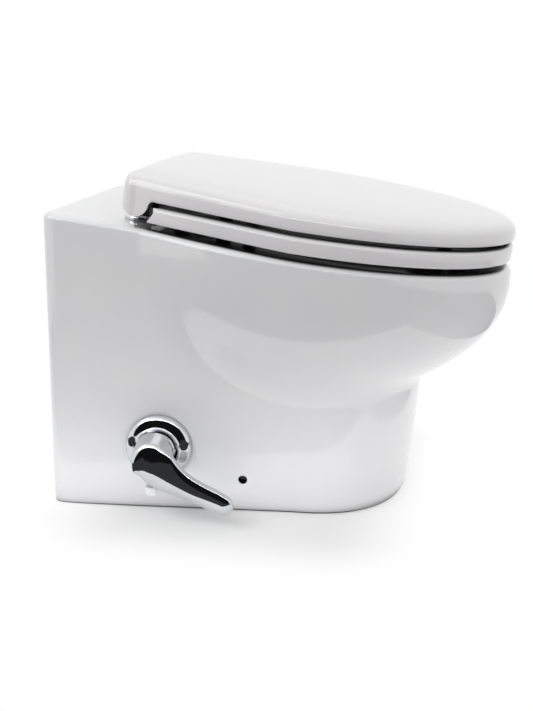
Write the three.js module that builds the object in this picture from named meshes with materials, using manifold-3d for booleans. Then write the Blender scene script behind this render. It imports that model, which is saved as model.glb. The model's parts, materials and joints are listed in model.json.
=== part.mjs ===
// Electric marine toilet: vitreous-china bowl with seat, lid, side mixer and macerator pump.
// Millimetres, +Z up, +X to the front of the bowl. While a piece is shaped, x is counted from
// the deck's back edge, y from the centre plane (the mixer is on the -y side), z from the floor.
import * as THREE from 'three';
import Module from 'manifold-3d';
import { mergeVertices } from 'three/addons/utils/BufferGeometryUtils.js';

const wasm = await Module();
wasm.setup();

// Driving dimensions of the ceramic
const bodyLength = 496;        // deck's back edge to the front of the bowl
const bowlWidth = 362;         // widest line of the bowl
const rearHeight = 322;        // deck above the floor at its back edge
const frontHeight = 261;       // rim above the floor at the front of the bowl
const deckWidth = 279;         // at the back edge
const footRearWidth = 306;
const footWaistWidth = 256;    // foot under the widest line of the bowl
const neckWaistWidth = 262;    // side walls under the deck, at the same place
const waistX = 272;            // widest line of the bowl, from the back edge
const footBackX = 5;           // foot set in from the deck's back edge
const footFrontX = 389;
const neckFrontX = 403;        // front of the base where the bulge leaves it
const neckHeight = 145;
const bulgeDepth = 187;        // the bulge's fall from its widest line to nothing, at its sides
const bulgeFrontDepth = 158;   // the same at the front
const bulgeTopDrop = 8;        // widest line under the rim
const bulgeRearLength = 239;   // widest line back to where the bulge's ellipse ends
const blendWidth = 30;         // reach of the soft crease between bulge and side walls
const frontBlendWidth = 8;     // the same at the front
const backCornerRadius = 13;
const rimEdgeRadius = 7;
const footEdgeRadius = 2;
const wall = 9;
const deckThickness = 12;
const bulgeFrontPower = 2;
const baseFrontPower = 2.4;
const neckCurvePower = 0.6;

// Bowl cavity
const bowlOpenBackX = 150;
const bowlOpenFrontX = 466;
const bowlOpenHalfWidth = 112;
const bowlLipFlare = 5;
const sumpX = 245;
const sumpRadius = 34;
const sumpTop = 95;
const sumpFloor = 42;
const outletHeight = 66;
const outletRadius = 22;
const spigotRadius = 29;
const spigotLength = 24;

// Openings in the ceramic
const serviceHalfWidth = 85;
const serviceLow = 28;
const serviceHigh = 235;
const serviceCorner = 25;
const fixingHoleX = 218.5;
const fixingHoleZ = 36;
const fixingHoleRadius = 5;

// Seat and lid, in the frame of the sloping deck
const hingeX = 99.5;
const hingeHeight = 25;        // hinge line above the deck
const hingeHalfSpacing = 90;   // centre plane to each hinge post
const seatGap = 8.4;           // rim to the underside of the seat
const seatThickness = 17.4;
const lidGap = 4.9;            // seat to the lid's lower edge
const lidThickness = 25.5;     // at the back
const lidFrontFall = 8;        // thinner by this at the front
const lidCrown = 4;            // rise of the lid's top in its middle
const lidWall = 6;
const lidFrontX = 494;         // at the deck's own height; the lid above it leans forward
const lidHalfWidth = 187;
const lidRearHalfWidth = 141;
const lidCornerRadius = 12;
const seatInset = 0.2;         // seat inside the lid's outline
const seatHornX = 116;         // rear ends of the seat, at their underside
const seatHornLean = 11;
const seatBandX = 116;         // back edge of the seat between the hinge posts
const seatHornInner = 112;     // inner side of the rear ends
const seatHoleBackX = 176;
const seatHoleFrontX = 440;
const seatHoleHalfWidth = 103;
const flarePower = 1.1;
const lobeRadius = 13.5;
const lobeWidth = 18;
const bufferRadius = 8;
const buffersX = [190, 420];
const bufferBandShare = 0.4;

// Hinge hardware
const hingeBaseRadius = 16;
const hingeBaseHeight = 4;
const postWidth = 14;
const postHeadRadius = 9;
const pinRadius = 4.5;
const knuckleRadius = 11;
const knuckleWidth = 18;
const damperRadius = 9;
const hingeBoltRadius = 4;
const hingeBoltHoleRadius = 6.5;
const washerRadius = 13;
const washerThickness = 3;
const hingeNutRadius = 11;
const hingeNutHeight = 9;
const nutHubShare = 0.7;
const hingeBoltTail = 18;
const postNeck = 8;
const lidShoulderWidth = 38;
const lidBackShoulder = 12;
const lidBufferRadius = 6;

// Mixer on the near side wall
const mixerX = 127;
const mixerZ = 70.8;
const escutcheonRadius = 36.3;
const escutcheonHeight = 13;
const sleeveRadius = 23.5;
const sleeveShoulder = 10;     // sleeve's straight part out of the wall
const sleeveConeTop = 16;
const leverPivot = 24;         // lift axis out of the wall
const domeRadius = 20.2;
const domeGap = 1.6;
const capRadius = 24.3;
const capTop = 57;             // outer end of the lever's cap, out of the wall
const leverLength = 100;       // mixer axis to the tip of the handle
const leverTipRadius = 10.5;
const leverTipThickness = 15;
const leverDroop = 31;         // degrees below level, towards the front
const cartridgeRadius = 12.2;
const valveBodyRadius = 20;
const valveShankRadius = 16;
const tapHoleRadius = 17.5;
const valveBodyDepth = 34;
const stemRadius = 3.5;
const stemTail = 2;            // stem under the lift axis
const pivotPinRadius = 1.5;
const pivotPinInset = 0.8;     // pin's ends in from the turret's side
const turretRadius = 11;
const leverLift = 18;          // degrees
const portRadius = 6;
const portLength = 16;
const plugRadius = 6.3;
const plugReach = 36.5;        // mixer's axis to the plug's outer end
const plugLength = 8.5;
const domeSteps = 3;
const valveStart = 14;         // valve body behind the wall's outer face
const turretFoot = 5;          // turret under the lift axis
const turretRise = 8;
const turretFloor = 1.2;
const stemTop = 47.5;          // out of the wall
const capStraight = 8;         // straight side of the cap beyond the lift axis
const leverRootHalfWidth = 25; // of the handle at the mixer's axis, on its upper side
const leverBellyDepth = 28.5;  // the same on its lower side
const handleRise = 2;
const handleSides = 10;
const handleShares = [-0.22, -0.12, 0, 0.14, 0.28, 0.4, 0.55, 0.75, 0.9, 0.95, 0.985, 0.997];

// Macerator pump, one line of parts along X under the bowl's outlet
const pumpRadius = 50;
const chamberRadius = 42;
const neckLength = 16;
const coverThickness = 8;
const housingDepth = 36;
const housingBack = 8;
const motorRadius = 40;
const motorLength = 72;
const motorWall = 3;
const endCapThickness = 10;
const shaftRadius = 4;
const armatureRadius = 28;
const bearingRadius = 10;
const bearingWidth = 6;
const bearingBoss = 13;
const impellerRadius = 36;
const bladeReach = 34;
const sleeveWall = 4;
const dischargeY = 26;
const dischargeRadius = 13;
const dischargeBore = 10;
const dischargeTop = 140;
const riserLength = 20;        // straight pipe from the pump's port up to the elbow
const elbowReach = 44;         // of the elbow, back from the riser and up from the port
const elbowStraight = 5;       // straight start of the elbow
const elbowSteps = 7;
const tailLength = 40;
const bracketWall = 3;
const bracketWidth = 40;
const bracketFoot = 14;
const bracketHoleRadius = 3;
const bracketHoleShare = 0.45; // in from the bracket's end, of half its width
const saddleWidthShare = 0.8;
const saddleDropShare = 0.6;
const sealWall = 5;
const hubWall = 6;
const bladeThickness = 4;
const bladeWidth = 12;
const vaneThickness = 3;
const vaneCount = 5;
const frontPlate = 6;          // front wall of the motor can
const armatureEnd = 12;
const slotCount = 9;
const slotDepth = 5;
const slotWidth = 3;
const valveThickness = 4;
const barbWidth = 5;
const barbShares = [0.3, 0.5, 0.7];

// Rinse and bidet water
const nozzleDrop = 32;         // nozzles under the deck
const nozzleY = 30;
const nozzleHoleRadius = 7.5;
const nozzleShankRadius = 6.9;
const nozzleHeadRadius = 10;
const nozzleNutRadius = 11;
const nozzleNutLength = 8;
const valveBlock = 30;
const coilRadius = 15;
const coilLength = 34;
const hoseRadius = 5;
const hoseBow = 34;            // how far the bidet hose swings to the back
const hoseSteps = 18;
const hoseSides = 8;
const nozzleShankLength = 22;
const nozzleHeadLength = 6;
const nozzleSlant = 3.5;       // the bowl's slope across a nozzle's nut

// Control box and floor brackets
const boxLength = 60;
const boxHeight = 74;
const boxDepth = 26;
const boxX = 72;
const boxZ = 196;
const boxCoverDepth = 6;
const boxWall = 3;
const boxSeat = 0.6;           // behind the box, to the wall
const glandRadius = 8;
const glandNeckShare = 0.6;
const glandBoreShare = 0.35;
const floorBracketLength = 40;
const floorBracketHeight = 58;
const floorBracketReach = 34;
const floorBracketWall = 4;
const bracketSeat = 0.5;       // in from the wall's mean face

// Clearances and working values
const centreShift = 4;         // sideways, so that the origin lies under the middle
const clear = 0.3;             // between pieces that touch
const runningGap = 0.5;        // between pieces that turn
const overrun = 2;             // of a cutting tool past a face
const weldDistance = 0.001;
const quarterTurn = Math.PI / 2;
const fullTurn = 360;          // degrees
const wideSides = 24;          // facets round a large, a middling and a small circle
const midSides = 16;
const smallSides = 12;

// Derived frame of the rim and the deck
const rimSlope = (rearHeight - frontHeight) / bodyLength;
const slopeAngle = Math.atan(rimSlope);
const rimHeight = (x) => rearHeight - rimSlope * x;
const lerp = THREE.MathUtils.lerp;
const clampShare = (t) => Math.min(Math.max(t, 0), 1);

// Colours and finishes
function finish(color, roughness, metalness) {
  return new THREE.MeshStandardMaterial({ color, roughness, metalness });
}

const china = finish(0xf1f1f2, 0.08, 0);
const seatPlastic = finish(0xf3f2f3, 0.15, 0);
const chrome = finish(0xd4d6d9, 0.06, 1);
const steel = finish(0xb6b8ba, 0.35, 1);
const brass = finish(0xb89a55, 0.35, 1);
const rubber = finish(0x1d1d1f, 0.8, 0);
const blackPlastic = finish(0x26272a, 0.45, 0);
const greyPlastic = finish(0x9a9da1, 0.5, 0);
const whitePlastic = finish(0xe9e9ea, 0.4, 0);
const motorPaint = finish(0x2b2e33, 0.4, 0.3);
const copper = finish(0xa8653a, 0.4, 1);

const toilet = new THREE.Group();

// A closed geometry becomes a solid whose faces point out.
function solid(geometry) {
  const bare = geometry.index ? geometry.toNonIndexed() : geometry.clone();
  for (const name of Object.keys(bare.attributes)) {
    if (name !== 'position') bare.deleteAttribute(name);
  }
  const merged = mergeVertices(bare, weldDistance);
  const at = merged.attributes.position.array;
  const index = merged.index.array;
  const triangles = [];
  let volume = 0;
  for (let i = 0; i < index.length; i += 3) {
    const [a, b, c] = [index[i], index[i + 1], index[i + 2]];
    if (a === b || b === c || a === c) continue;
    triangles.push(a, b, c);
    const [p, q, r] = [a, b, c].map((k) => new THREE.Vector3().fromArray(at, k * 3));
    volume += p.dot(q.cross(r));
  }
  if (volume < 0) {
    for (let i = 0; i < triangles.length; i += 3) {
      [triangles[i], triangles[i + 1]] = [triangles[i + 1], triangles[i]];
    }
  }
  return new wasm.Manifold(new wasm.Mesh({
    numProp: 3,
    vertProperties: new Float32Array(at),
    triVerts: new Uint32Array(triangles),
  }));
}

const join = (first, ...others) => others.reduce((whole, piece) => whole.add(piece), first);
const cut = (first, ...tools) => tools.reduce((whole, tool) => whole.subtract(tool), first);

// Adds a solid to a group as a named mesh.
function addPiece(group, name, manifold, material) {
  const { vertProperties, triVerts } = manifold.getMesh();
  const geometry = new THREE.BufferGeometry();
  geometry.setAttribute('position', new THREE.BufferAttribute(new Float32Array(vertProperties), 3));
  geometry.setIndex(new THREE.BufferAttribute(new Uint32Array(triVerts), 1));
  geometry.computeVertexNormals();
  const piece = new THREE.Mesh(geometry, material);
  piece.name = name;
  group.add(piece);
  return piece;
}

// Rod between two points along one axis; axis is 'x', 'y' or 'z'.
function rod(radius, axis, from, to, [u, v] = [0, 0], sides = smallSides) {
  const geometry = new THREE.CylinderGeometry(radius, radius, Math.abs(to - from), sides);
  const middle = (from + to) / 2;
  if (axis === 'x') return solid(geometry.rotateZ(-quarterTurn).translate(middle, u, v));
  if (axis === 'y') return solid(geometry.translate(u, middle, v));
  return solid(geometry.rotateX(quarterTurn).translate(u, v, middle));
}

const tube = (outer, inner, axis, from, to, at, sides) => cut(
  rod(outer, axis, from, to, at, sides),
  rod(inner, axis, Math.min(from, to) - overrun, Math.max(from, to) + overrun, at, sides),
);

function block([x0, y0, z0], [x1, y1, z1]) {
  const geometry = new THREE.BoxGeometry(x1 - x0, y1 - y0, z1 - z0);
  return solid(geometry.translate((x0 + x1) / 2, (y0 + y1) / 2, (z0 + z1) / 2));
}

// Solid of revolution about Z from [radius, height] points that start and end on the axis.
function turned(profile, sides = wideSides) {
  const points = profile.map(([radius, height]) => new THREE.Vector2(radius, height));
  return solid(new THREE.LatheGeometry(points, sides).rotateX(quarterTurn));
}

function ball(radius, [x, y, z], sides = midSides) {
  return solid(new THREE.SphereGeometry(radius, sides, sides / 2).translate(x, y, z));
}

// Flat outline in the XY plane raised along Z, with any turn to another plane done by the caller.
function plate(shape, thickness) {
  return new THREE.ExtrudeGeometry(shape, { depth: thickness, bevelEnabled: false, curveSegments: 8 });
}

// Skin over closed rings with the same number of points, closed by a fan at each end.
function loft(rings, firstCentre, lastCentre) {
  const count = rings[0].length;
  const points = rings.flat().concat([firstCentre, lastCentre]);
  const first = points.length - 2;
  const last = points.length - 1;
  const index = [];
  for (let j = 0; j < count; j += 1) {
    const k = (j + 1) % count;
    index.push(first, k, j);
    for (let i = 0; i + 1 < rings.length; i += 1) {
      const low = i * count;
      const high = low + count;
      index.push(low + j, low + k, high + k, low + j, high + k, high + j);
    }
    const top = (rings.length - 1) * count;
    index.push(top + j, top + k, last);
  }
  return skin(points, index);
}

// Ring whose section is lofted all the way round and meets itself.
function ringLoft(sections) {
  const sides = sections[0].length;
  const index = [];
  sections.forEach((section, i) => {
    const here = i * sides;
    const next = ((i + 1) % sections.length) * sides;
    section.forEach((_, j) => {
      const k = (j + 1) % sides;
      index.push(here + j, here + k, next + k, here + j, next + k, next + j);
    });
  });
  return skin(sections.flat(), index);
}

function skin(points, index) {
  const geometry = new THREE.BufferGeometry();
  geometry.setAttribute('position', new THREE.Float32BufferAttribute(points.flat(), 3));
  geometry.setIndex(index);
  return solid(geometry);
}

// Round section carried along a smooth curve through the points.
function sweptRod(radius, points, steps, sides = 12) {
  const curve = new THREE.CatmullRomCurve3(points.map((p) => new THREE.Vector3(...p)), false, 'centripetal');
  const shape = new THREE.Shape();
  for (let i = 0; i < sides; i += 1) {
    const angle = (i / sides) * 2 * Math.PI;
    const at = [radius * Math.cos(angle), radius * Math.sin(angle)];
    if (i === 0) shape.moveTo(...at);
    else shape.lineTo(...at);
  }
  return solid(new THREE.ExtrudeGeometry(shape, { extrudePath: curve, steps, bevelEnabled: false }));
}

// The ceramic's outline at each height is the smooth union, in polar form about the waist, of
// the base (a rounded box that narrows to the front) and of the bowl's bulge (an ellipse).
const superRadius = (p, q, power) => (Math.abs(p) ** power + Math.abs(q) ** power) ** (-1 / power);

function smoothMax(a, b, width) {
  const near = Math.max(width - Math.abs(a - b), 0);
  return Math.max(a, b) + (near * near) / (4 * width);
}

const cornerCut = 1 - Math.SQRT1_2;
const cornerPower = Math.LN2 / -Math.log(1 - (cornerCut * backCornerRadius) / (deckWidth / 2));
const bodyHeight = (x) => rimHeight(x) - rimEdgeRadius;

// Plan of the base at a share of the height: back and front on the centre line, half widths.
function basePlan(heightShare) {
  const neckShare = clampShare((heightShare * bodyHeight(footFrontX)) / neckHeight);
  const back = lerp(footBackX, 0, heightShare);
  const waist = lerp(footWaistWidth, neckWaistWidth, heightShare) / 2;
  const rear = lerp(footRearWidth, deckWidth, heightShare) / 2;
  return {
    back,
    front: lerp(footFrontX, neckFrontX, neckShare ** neckCurvePower),
    waist,
    rear,
    taper: (rear - waist) / (waistX - back),
  };
}

function baseRadius(angle, heightShare) {
  const plan = basePlan(heightShare);
  const c = Math.cos(angle);
  const s = Math.abs(Math.sin(angle));
  if (c >= 0) return superRadius(c / (plan.front - waistX), s / plan.waist, baseFrontPower);
  return superRadius(c / (waistX - plan.back), (s + plan.taper * c) / plan.waist, cornerPower);
}

const bulgeTopShare = 1 - bulgeTopDrop / bodyHeight(waistX);

function bulgeRadius(angle, heightShare) {
  const c = Math.cos(angle);
  const depth = lerp(bulgeDepth, bulgeFrontDepth, c > 0 ? c * c : 0);
  const fall = Math.max(bulgeTopShare - heightShare, 0) * bodyHeight(waistX) / depth;
  if (fall >= 1) return 0;
  const size = Math.sqrt(1 - fall * fall);
  const reach = c >= 0 ? bodyLength - waistX : bulgeRearLength;
  const power = c >= 0 ? bulgeFrontPower : 2;
  return size * superRadius(c / reach, Math.sin(angle) / (bowlWidth / 2), power);
}

function bodyRadius(angle, heightShare) {
  const c = Math.max(Math.cos(angle), 0);
  const blend = lerp(blendWidth, frontBlendWidth, c * c);
  return smoothMax(baseRadius(angle, heightShare), bulgeRadius(angle, heightShare), blend);
}

// Directions of the outline's points: even round the front, close together at the back corner.
const frontSteps = 11;
const sideSteps = 4;
const cornerSteps = 5;
const backSteps = 1;
const cornerSpread = THREE.MathUtils.degToRad(5);
const outlineProbe = THREE.MathUtils.degToRad(0.5);

function bodyAngles(heightShare) {
  const plan = basePlan(heightShare);
  const corner = Math.atan2(plan.rear, plan.back - waistX);
  const stops = [0, quarterTurn, corner - cornerSpread, corner + cornerSpread, Math.PI];
  const steps = [frontSteps, sideSteps, cornerSteps, backSteps];
  const half = [0];
  steps.forEach((count, i) => {
    for (let k = 1; k <= count; k += 1) half.push(lerp(stops[i], stops[i + 1], k / count));
  });
  const mirrored = half.slice(1, -1).reverse().map((angle) => -angle);
  return half.concat(mirrored);
}

function outlinePoint(angle, heightShare) {
  const radius = bodyRadius(angle, heightShare);
  return [waistX + radius * Math.cos(angle), radius * Math.sin(angle)];
}

// One outline at a share of the height, drawn in square to itself by inset and raised by lift.
function bodyRing(heightShare, inset, lift) {
  return bodyAngles(heightShare).map((angle) => {
    const [x0, y0] = outlinePoint(angle - outlineProbe, heightShare);
    const [x1, y1] = outlinePoint(angle + outlineProbe, heightShare);
    const [px, py] = outlinePoint(angle, heightShare);
    const scale = inset / Math.hypot(x1 - x0, y1 - y0);
    const x = px - (y1 - y0) * scale;
    return [x, py + (x1 - x0) * scale, heightShare * bodyHeight(x) + lift];
  });
}

// Half width of the flat side wall, for what is fixed to it.
function sideHalfWidth(x, z) {
  const plan = basePlan(z / bodyHeight(x));
  return plan.waist + plan.taper * (waistX - x);
}

const bodyShares = [0, 0.14, 0.27, 0.36, 0.42, 0.47, 0.52, 0.58, 0.65, 0.74, 0.84, 0.92, 1];
const voidShares = [0, 0.36, 0.47, 0.57, 0.74, 1];
const roundingShares = [1 / 3, 2 / 3, 1];

function bodyOuter() {
  const rings = [bodyRing(0, footEdgeRadius, 0), bodyRing(0, 0, footEdgeRadius)];
  bodyShares.slice(1).forEach((share) => rings.push(bodyRing(share, 0, 0)));
  roundingShares.forEach((share) => {
    const angle = share * quarterTurn;
    rings.push(bodyRing(1, rimEdgeRadius * (1 - Math.cos(angle)), rimEdgeRadius * Math.sin(angle)));
  });
  return loft(rings, [waistX, 0, 0], [waistX, 0, rimHeight(waistX)]);
}

// The hollow inside the outer skin, open to the floor.
function bodyVoid() {
  const top = rimEdgeRadius - deckThickness;
  const rings = [bodyRing(0, wall, -overrun)];
  voidShares.slice(1).forEach((share) => rings.push(bodyRing(share, wall, share * top)));
  return loft(rings, [waistX, 0, -overrun], [waistX, 0, rimHeight(waistX) - deckThickness]);
}

// Bowl cavity: egg-shaped rings from the opening down to the sump, then the round sump.
const bowlDepthShares = [0, 0.2, 0.42, 0.62, 0.78, 0.9, 0.97, 1];
const bowlSides = 24;

function bowlRing(depthShare, outset, lift) {
  const fullness = Math.sqrt(1 - depthShare * depthShare);
  const back = lerp(bowlOpenBackX, sumpX - sumpRadius, depthShare) - outset;
  const front = lerp(sumpX + sumpRadius, bowlOpenFrontX, fullness) + outset;
  const side = lerp(sumpRadius, bowlOpenHalfWidth, fullness) + outset;
  const centre = lerp((bowlOpenBackX + bowlOpenFrontX) / 2, sumpX, depthShare);
  return Array.from({ length: bowlSides }, (_, i) => {
    const angle = (i / bowlSides) * 2 * Math.PI;
    const c = Math.cos(angle);
    const x = centre + c * (c >= 0 ? front - centre : centre - back);
    return [x, side * Math.sin(angle), lerp(rimHeight(x), sumpTop, depthShare) + lift];
  });
}

function bowlSolid(outset, floor) {
  const rings = bowlDepthShares.map((share) => bowlRing(share, outset, 0));
  rings.push(bowlRing(1, outset, floor - sumpTop));
  return rings.reverse();
}

function bowlCavity() {
  const rings = bowlSolid(0, sumpFloor);
  rings.pop();
  rings.push(bowlRing(0, 0, -bowlLipFlare));
  rings.push(bowlRing(0, bowlLipFlare, 0));
  rings.push(bowlRing(0, bowlLipFlare, overrun));
  const centreX = (bowlOpenBackX + bowlOpenFrontX) / 2;
  return loft(rings, [sumpX, 0, sumpFloor], [centreX, 0, rimHeight(centreX) + overrun]);
}

function bowlShell() {
  const rings = bowlSolid(wall, sumpFloor - wall);
  const centreX = (bowlOpenBackX + bowlOpenFrontX) / 2;
  return loft(rings, [sumpX, 0, sumpFloor - wall], [centreX, 0, rimHeight(centreX)]);
}

function roundedRectangle(x0, x1, y0, y1, r) {
  const shape = new THREE.Shape();
  shape.moveTo(x0 + r, y0);
  shape.absarc(x1 - r, y0 + r, r, -quarterTurn, 0);
  shape.absarc(x1 - r, y1 - r, r, 0, quarterTurn);
  shape.absarc(x0 + r, y1 - r, r, quarterTurn, 2 * quarterTurn);
  shape.absarc(x0 + r, y0 + r, r, 2 * quarterTurn, 3 * quarterTurn);
  return shape;
}

// The mixer's frame: its Z axis leaves the near wall square to it.
const mixerTaper = basePlan(mixerZ / bodyHeight(mixerX)).taper;
const mixerAngle = Math.atan(mixerTaper);
const wallAtMixer = (dx, dz) => sideHalfWidth(mixerX + dx, mixerZ + dz) - mixerTaper * -dx;
const mixerStandOff = Math.max(
  wallAtMixer(0, -escutcheonRadius), wallAtMixer(-escutcheonRadius, 0), wallAtMixer(escutcheonRadius, 0));

const spigotBack = sumpX - sumpRadius - wall - spigotLength;
const nozzleZ = rimHeight(bowlOpenBackX) - nozzleDrop;
const nozzleDepthShare = nozzleDrop / (rimHeight(bowlOpenBackX) - sumpTop);

// Back of the bowl, as x, at the nozzles' depth and a distance from the centre plane.
function bowlBackAt(y, outset) {
  const fullness = Math.sqrt(1 - nozzleDepthShare ** 2);
  const side = lerp(sumpRadius, bowlOpenHalfWidth, fullness) + outset;
  const centre = lerp((bowlOpenBackX + bowlOpenFrontX) / 2, sumpX, nozzleDepthShare);
  const back = lerp(bowlOpenBackX, sumpX - sumpRadius, nozzleDepthShare) - outset;
  return centre - (centre - back) * Math.sqrt(1 - (y / side) ** 2);
}

const nozzleFaceX = bowlBackAt(nozzleY, 0);
const nozzleNutX = bowlBackAt(nozzleY - nozzleNutRadius, wall) - nozzleSlant;

function ceramicBody() {
  const hollow = cut(bodyVoid(), bowlShell());
  const spigotFront = sumpX - sumpRadius - wall / 2;
  const spigot = rod(spigotRadius, 'x', spigotBack, spigotFront, [0, outletHeight], midSides);
  const outletBore = rod(outletRadius, 'x', spigotBack - overrun, sumpX, [0, outletHeight], midSides);
  const deckBore = (side) => rod(hingeBoltHoleRadius, 'z', rimHeight(hingeX) - 2 * deckThickness,
    rimHeight(hingeX) + 2 * overrun, [hingeX, side * hingeHalfSpacing]);
  const reach = sideHalfWidth(mixerX, mixerZ);
  const mixerBore = rod(tapHoleRadius, 'y', -reach - 2 * wall, -reach + 3 * wall, [mixerX, mixerZ], midSides);
  const fixingReach = sideHalfWidth(fixingHoleX, fixingHoleZ);
  const fixingBore = (side) => rod(fixingHoleRadius, 'y', side * (fixingReach - 2 * wall),
    side * (fixingReach + wall), [fixingHoleX, fixingHoleZ]);
  const nozzleBore = (side) => {
    const at = [side * nozzleY, nozzleZ];
    return join(rod(nozzleHoleRadius, 'x', nozzleFaceX - 3 * wall, nozzleFaceX + wall, at),
      rod(nozzleHeadRadius + 2 * clear, 'x', nozzleFaceX, nozzleFaceX + 2 * wall, at, midSides));
  };
  const service = solid(plate(
    roundedRectangle(-serviceHalfWidth, serviceHalfWidth, serviceLow, serviceHigh, serviceCorner),
    footBackX + 3 * wall).rotateX(quarterTurn).rotateZ(-quarterTurn).translate(footBackX + 2 * wall, 0, 0));
  const shell = join(cut(bodyOuter(), hollow), spigot);
  return cut(shell, bowlCavity(), outletBore, service, deckBore(-1), deckBore(1), mixerBore,
    fixingBore(-1), fixingBore(1), nozzleBore(-1), nozzleBore(1));
}

// Seat and lid plan: straight back, sides that flare to the widest line, elliptic front. Every
// outline is drawn in by inset and has the same number of points.
const planFlareSteps = 4;
const planFrontSteps = 10;
const planCornerSteps = 3;
const planBackSteps = 1;

const lidRearX = hingeX - lobeRadius;
const lidReach = lidFrontX - lidRearX;

function lidPlan(inset, backInset = inset) {
  const halfWidth = lidHalfWidth - inset;
  const rear = lidRearHalfWidth - inset;
  const back = lidRearX + backInset;
  const corner = Math.max(lidCornerRadius - inset, lidCornerRadius / 4);
  const half = [];
  for (let i = 0; i < planBackSteps; i += 1) half.push([back, ((rear - corner) * i) / planBackSteps]);
  for (let i = 0; i <= planCornerSteps; i += 1) {
    const angle = (i / planCornerSteps) * quarterTurn;
    half.push([back + corner * (1 - Math.cos(angle)), rear - corner * (1 - Math.sin(angle))]);
  }
  for (let i = 1; i <= planFlareSteps; i += 1) {
    const share = i / planFlareSteps;
    const flare = (halfWidth - rear) * (1 - share) ** flarePower;
    half.push([lerp(back + corner, waistX, share), halfWidth - flare]);
  }
  for (let i = 1; i <= planFrontSteps; i += 1) {
    const angle = (i / planFrontSteps) * quarterTurn;
    half.push([
      waistX + (lidFrontX - inset - waistX) * Math.sin(angle) ** (2 / bulgeFrontPower),
      halfWidth * Math.cos(angle) ** (2 / bulgeFrontPower),
    ]);
  }
  half[half.length - 1][1] = 0;
  const mirrored = half.slice(1, -1).reverse().map(([x, y]) => [x, -y]);
  return half.concat(mirrored);
}

// The deck's frame: origin on the deck under the hinge line, Z square to the deck.
const alongDeck = (x) => (x - hingeX) / Math.cos(slopeAngle);
const raised = (outline, height) => outline.map(([x, y]) => [alongDeck(x), y, height]);
const seatLow = seatGap;
const seatTop = seatGap + seatThickness;
const lidLow = seatTop + lidGap;
const hingeLine = [0, hingeHeight];
const postInner = hingeHalfSpacing - postWidth / 2;
const postOuter = hingeHalfSpacing + postWidth / 2;
const lobeInner = lidRearHalfWidth - lobeWidth;
const pinEnd = lobeInner + lobeWidth - lidWall;
const knuckleOuter = postInner - runningGap;
const knuckleInner = knuckleOuter - knuckleWidth;

// Shoulder of the lid: shares of its width in from the outline, and of the lid's thickness.
const shoulderInsetShares = [0.06, 0, 0.015, 0.07, 0.18, 0.4, 1];
const shoulderHeightShares = [0, 0.1, 0.42, 0.63, 0.8, 0.92, 1];
const recessHeightShares = [0, 0.5, 1];
const recessInsetShares = [0, 0, 1];

const lidMiddle = [alongDeck((lidRearX + lidFrontX) / 2), 0];

// Thickness of the lid at a place along it, before its crown.
const lidThicknessAt = (x) => lidThickness - lidFrontFall * clampShare((x - lidRearX) / lidReach) ** 2;

const lidCrownAt = (y) => lidCrown * (1 - (y / lidHalfWidth) ** 2);

function lidCover() {
  const rings = shoulderInsetShares.map((inset, i) => {
    const outline = lidPlan(inset * lidShoulderWidth, inset * lidBackShoulder);
    const share = shoulderHeightShares[i];
    return outline.map(([x, y]) => [
      alongDeck(x), y, lidLow + share * (lidThicknessAt(x) + lidCrownAt(y))]);
  });
  const middleTop = lidLow + lidThicknessAt((lidRearX + lidFrontX) / 2) + lidCrown;
  return loft(rings, [...lidMiddle, lidLow], [...lidMiddle, middleTop]);
}

function lidRecess() {
  const ceiling = (x) => lidThicknessAt(x) - lidWall;
  const rings = recessHeightShares.map((share, i) => {
    const outline = lidPlan(lidWall + recessInsetShares[i] * lidWall);
    return outline.map(([x, y]) => [alongDeck(x), y, lidLow + share * ceiling(x)]);
  });
  rings.unshift(raised(lidPlan(lidWall), lidLow - overrun));
  const middleTop = lidLow + ceiling((lidRearX + lidFrontX) / 2);
  return loft(rings, [...lidMiddle, lidLow - overrun], [...lidMiddle, middleTop]);
}

// Middle of the seat's band at a place along it, for the buffers.
function bandMiddle(x) {
  const across = (x - (seatHoleBackX + seatHoleFrontX) / 2) / ((seatHoleFrontX - seatHoleBackX) / 2);
  const inner = seatHoleHalfWidth * Math.sqrt(1 - across * across);
  const outline = lidPlan(seatInset).filter(([, y]) => y >= 0).sort((a, b) => a[0] - b[0]);
  const next = outline.findIndex(([at]) => at > x);
  const [low, high] = [outline[next - 1], outline[next]];
  const outer = lerp(low[1], high[1], (x - low[0]) / (high[0] - low[0]));
  return lerp(inner, outer, bufferBandShare);
}

const bufferPlaces = buffersX.flatMap((x) => [-1, 1].map((side) => [alongDeck(x), side * bandMiddle(x)]));
const bossTop = (along) => lidLow + lidThicknessAt(along * Math.cos(slopeAngle) + hingeX) - lidWall / 2;

function lidPiece() {
  const column = loft(
    [raised(lidPlan(0), hingeHeight - lobeRadius - overrun), raised(lidPlan(0), lidLow + lidWall)],
    [...lidMiddle, hingeHeight - lobeRadius - overrun], [...lidMiddle, lidLow + lidWall]);
  const lobe = (side) => {
    const [inner, outer] = [side * lobeInner, side * (lobeInner + lobeWidth + lidWall)];
    const web = block([-lobeRadius - overrun, Math.min(inner, outer), hingeHeight],
      [lobeRadius, Math.max(inner, outer), lidLow + lidWall]);
    return join(rod(lobeRadius, 'y', inner, outer, hingeLine, wideSides), web).intersect(column);
  };
  const pinBore = (side) => rod(
    pinRadius + clear, 'y', side * (lobeInner - overrun), side * pinEnd, hingeLine);
  const notch = (side) => {
    const ends = [side * (knuckleInner - runningGap), side * (postOuter + runningGap)];
    return block([-lobeRadius - overrun, Math.min(...ends), lidLow - overrun],
      [0, Math.max(...ends), lidLow + lidThickness / 2]);
  };
  const boss = ([u, v]) => rod(bufferRadius, 'z', lidLow, bossTop(u), [u, v]);
  const shell = join(cut(lidCover(), lidRecess()), lobe(-1), lobe(1), ...bufferPlaces.map(boss));
  return cut(shell, notch(-1), notch(1), pinBore(-1), pinBore(1));
}

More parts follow.
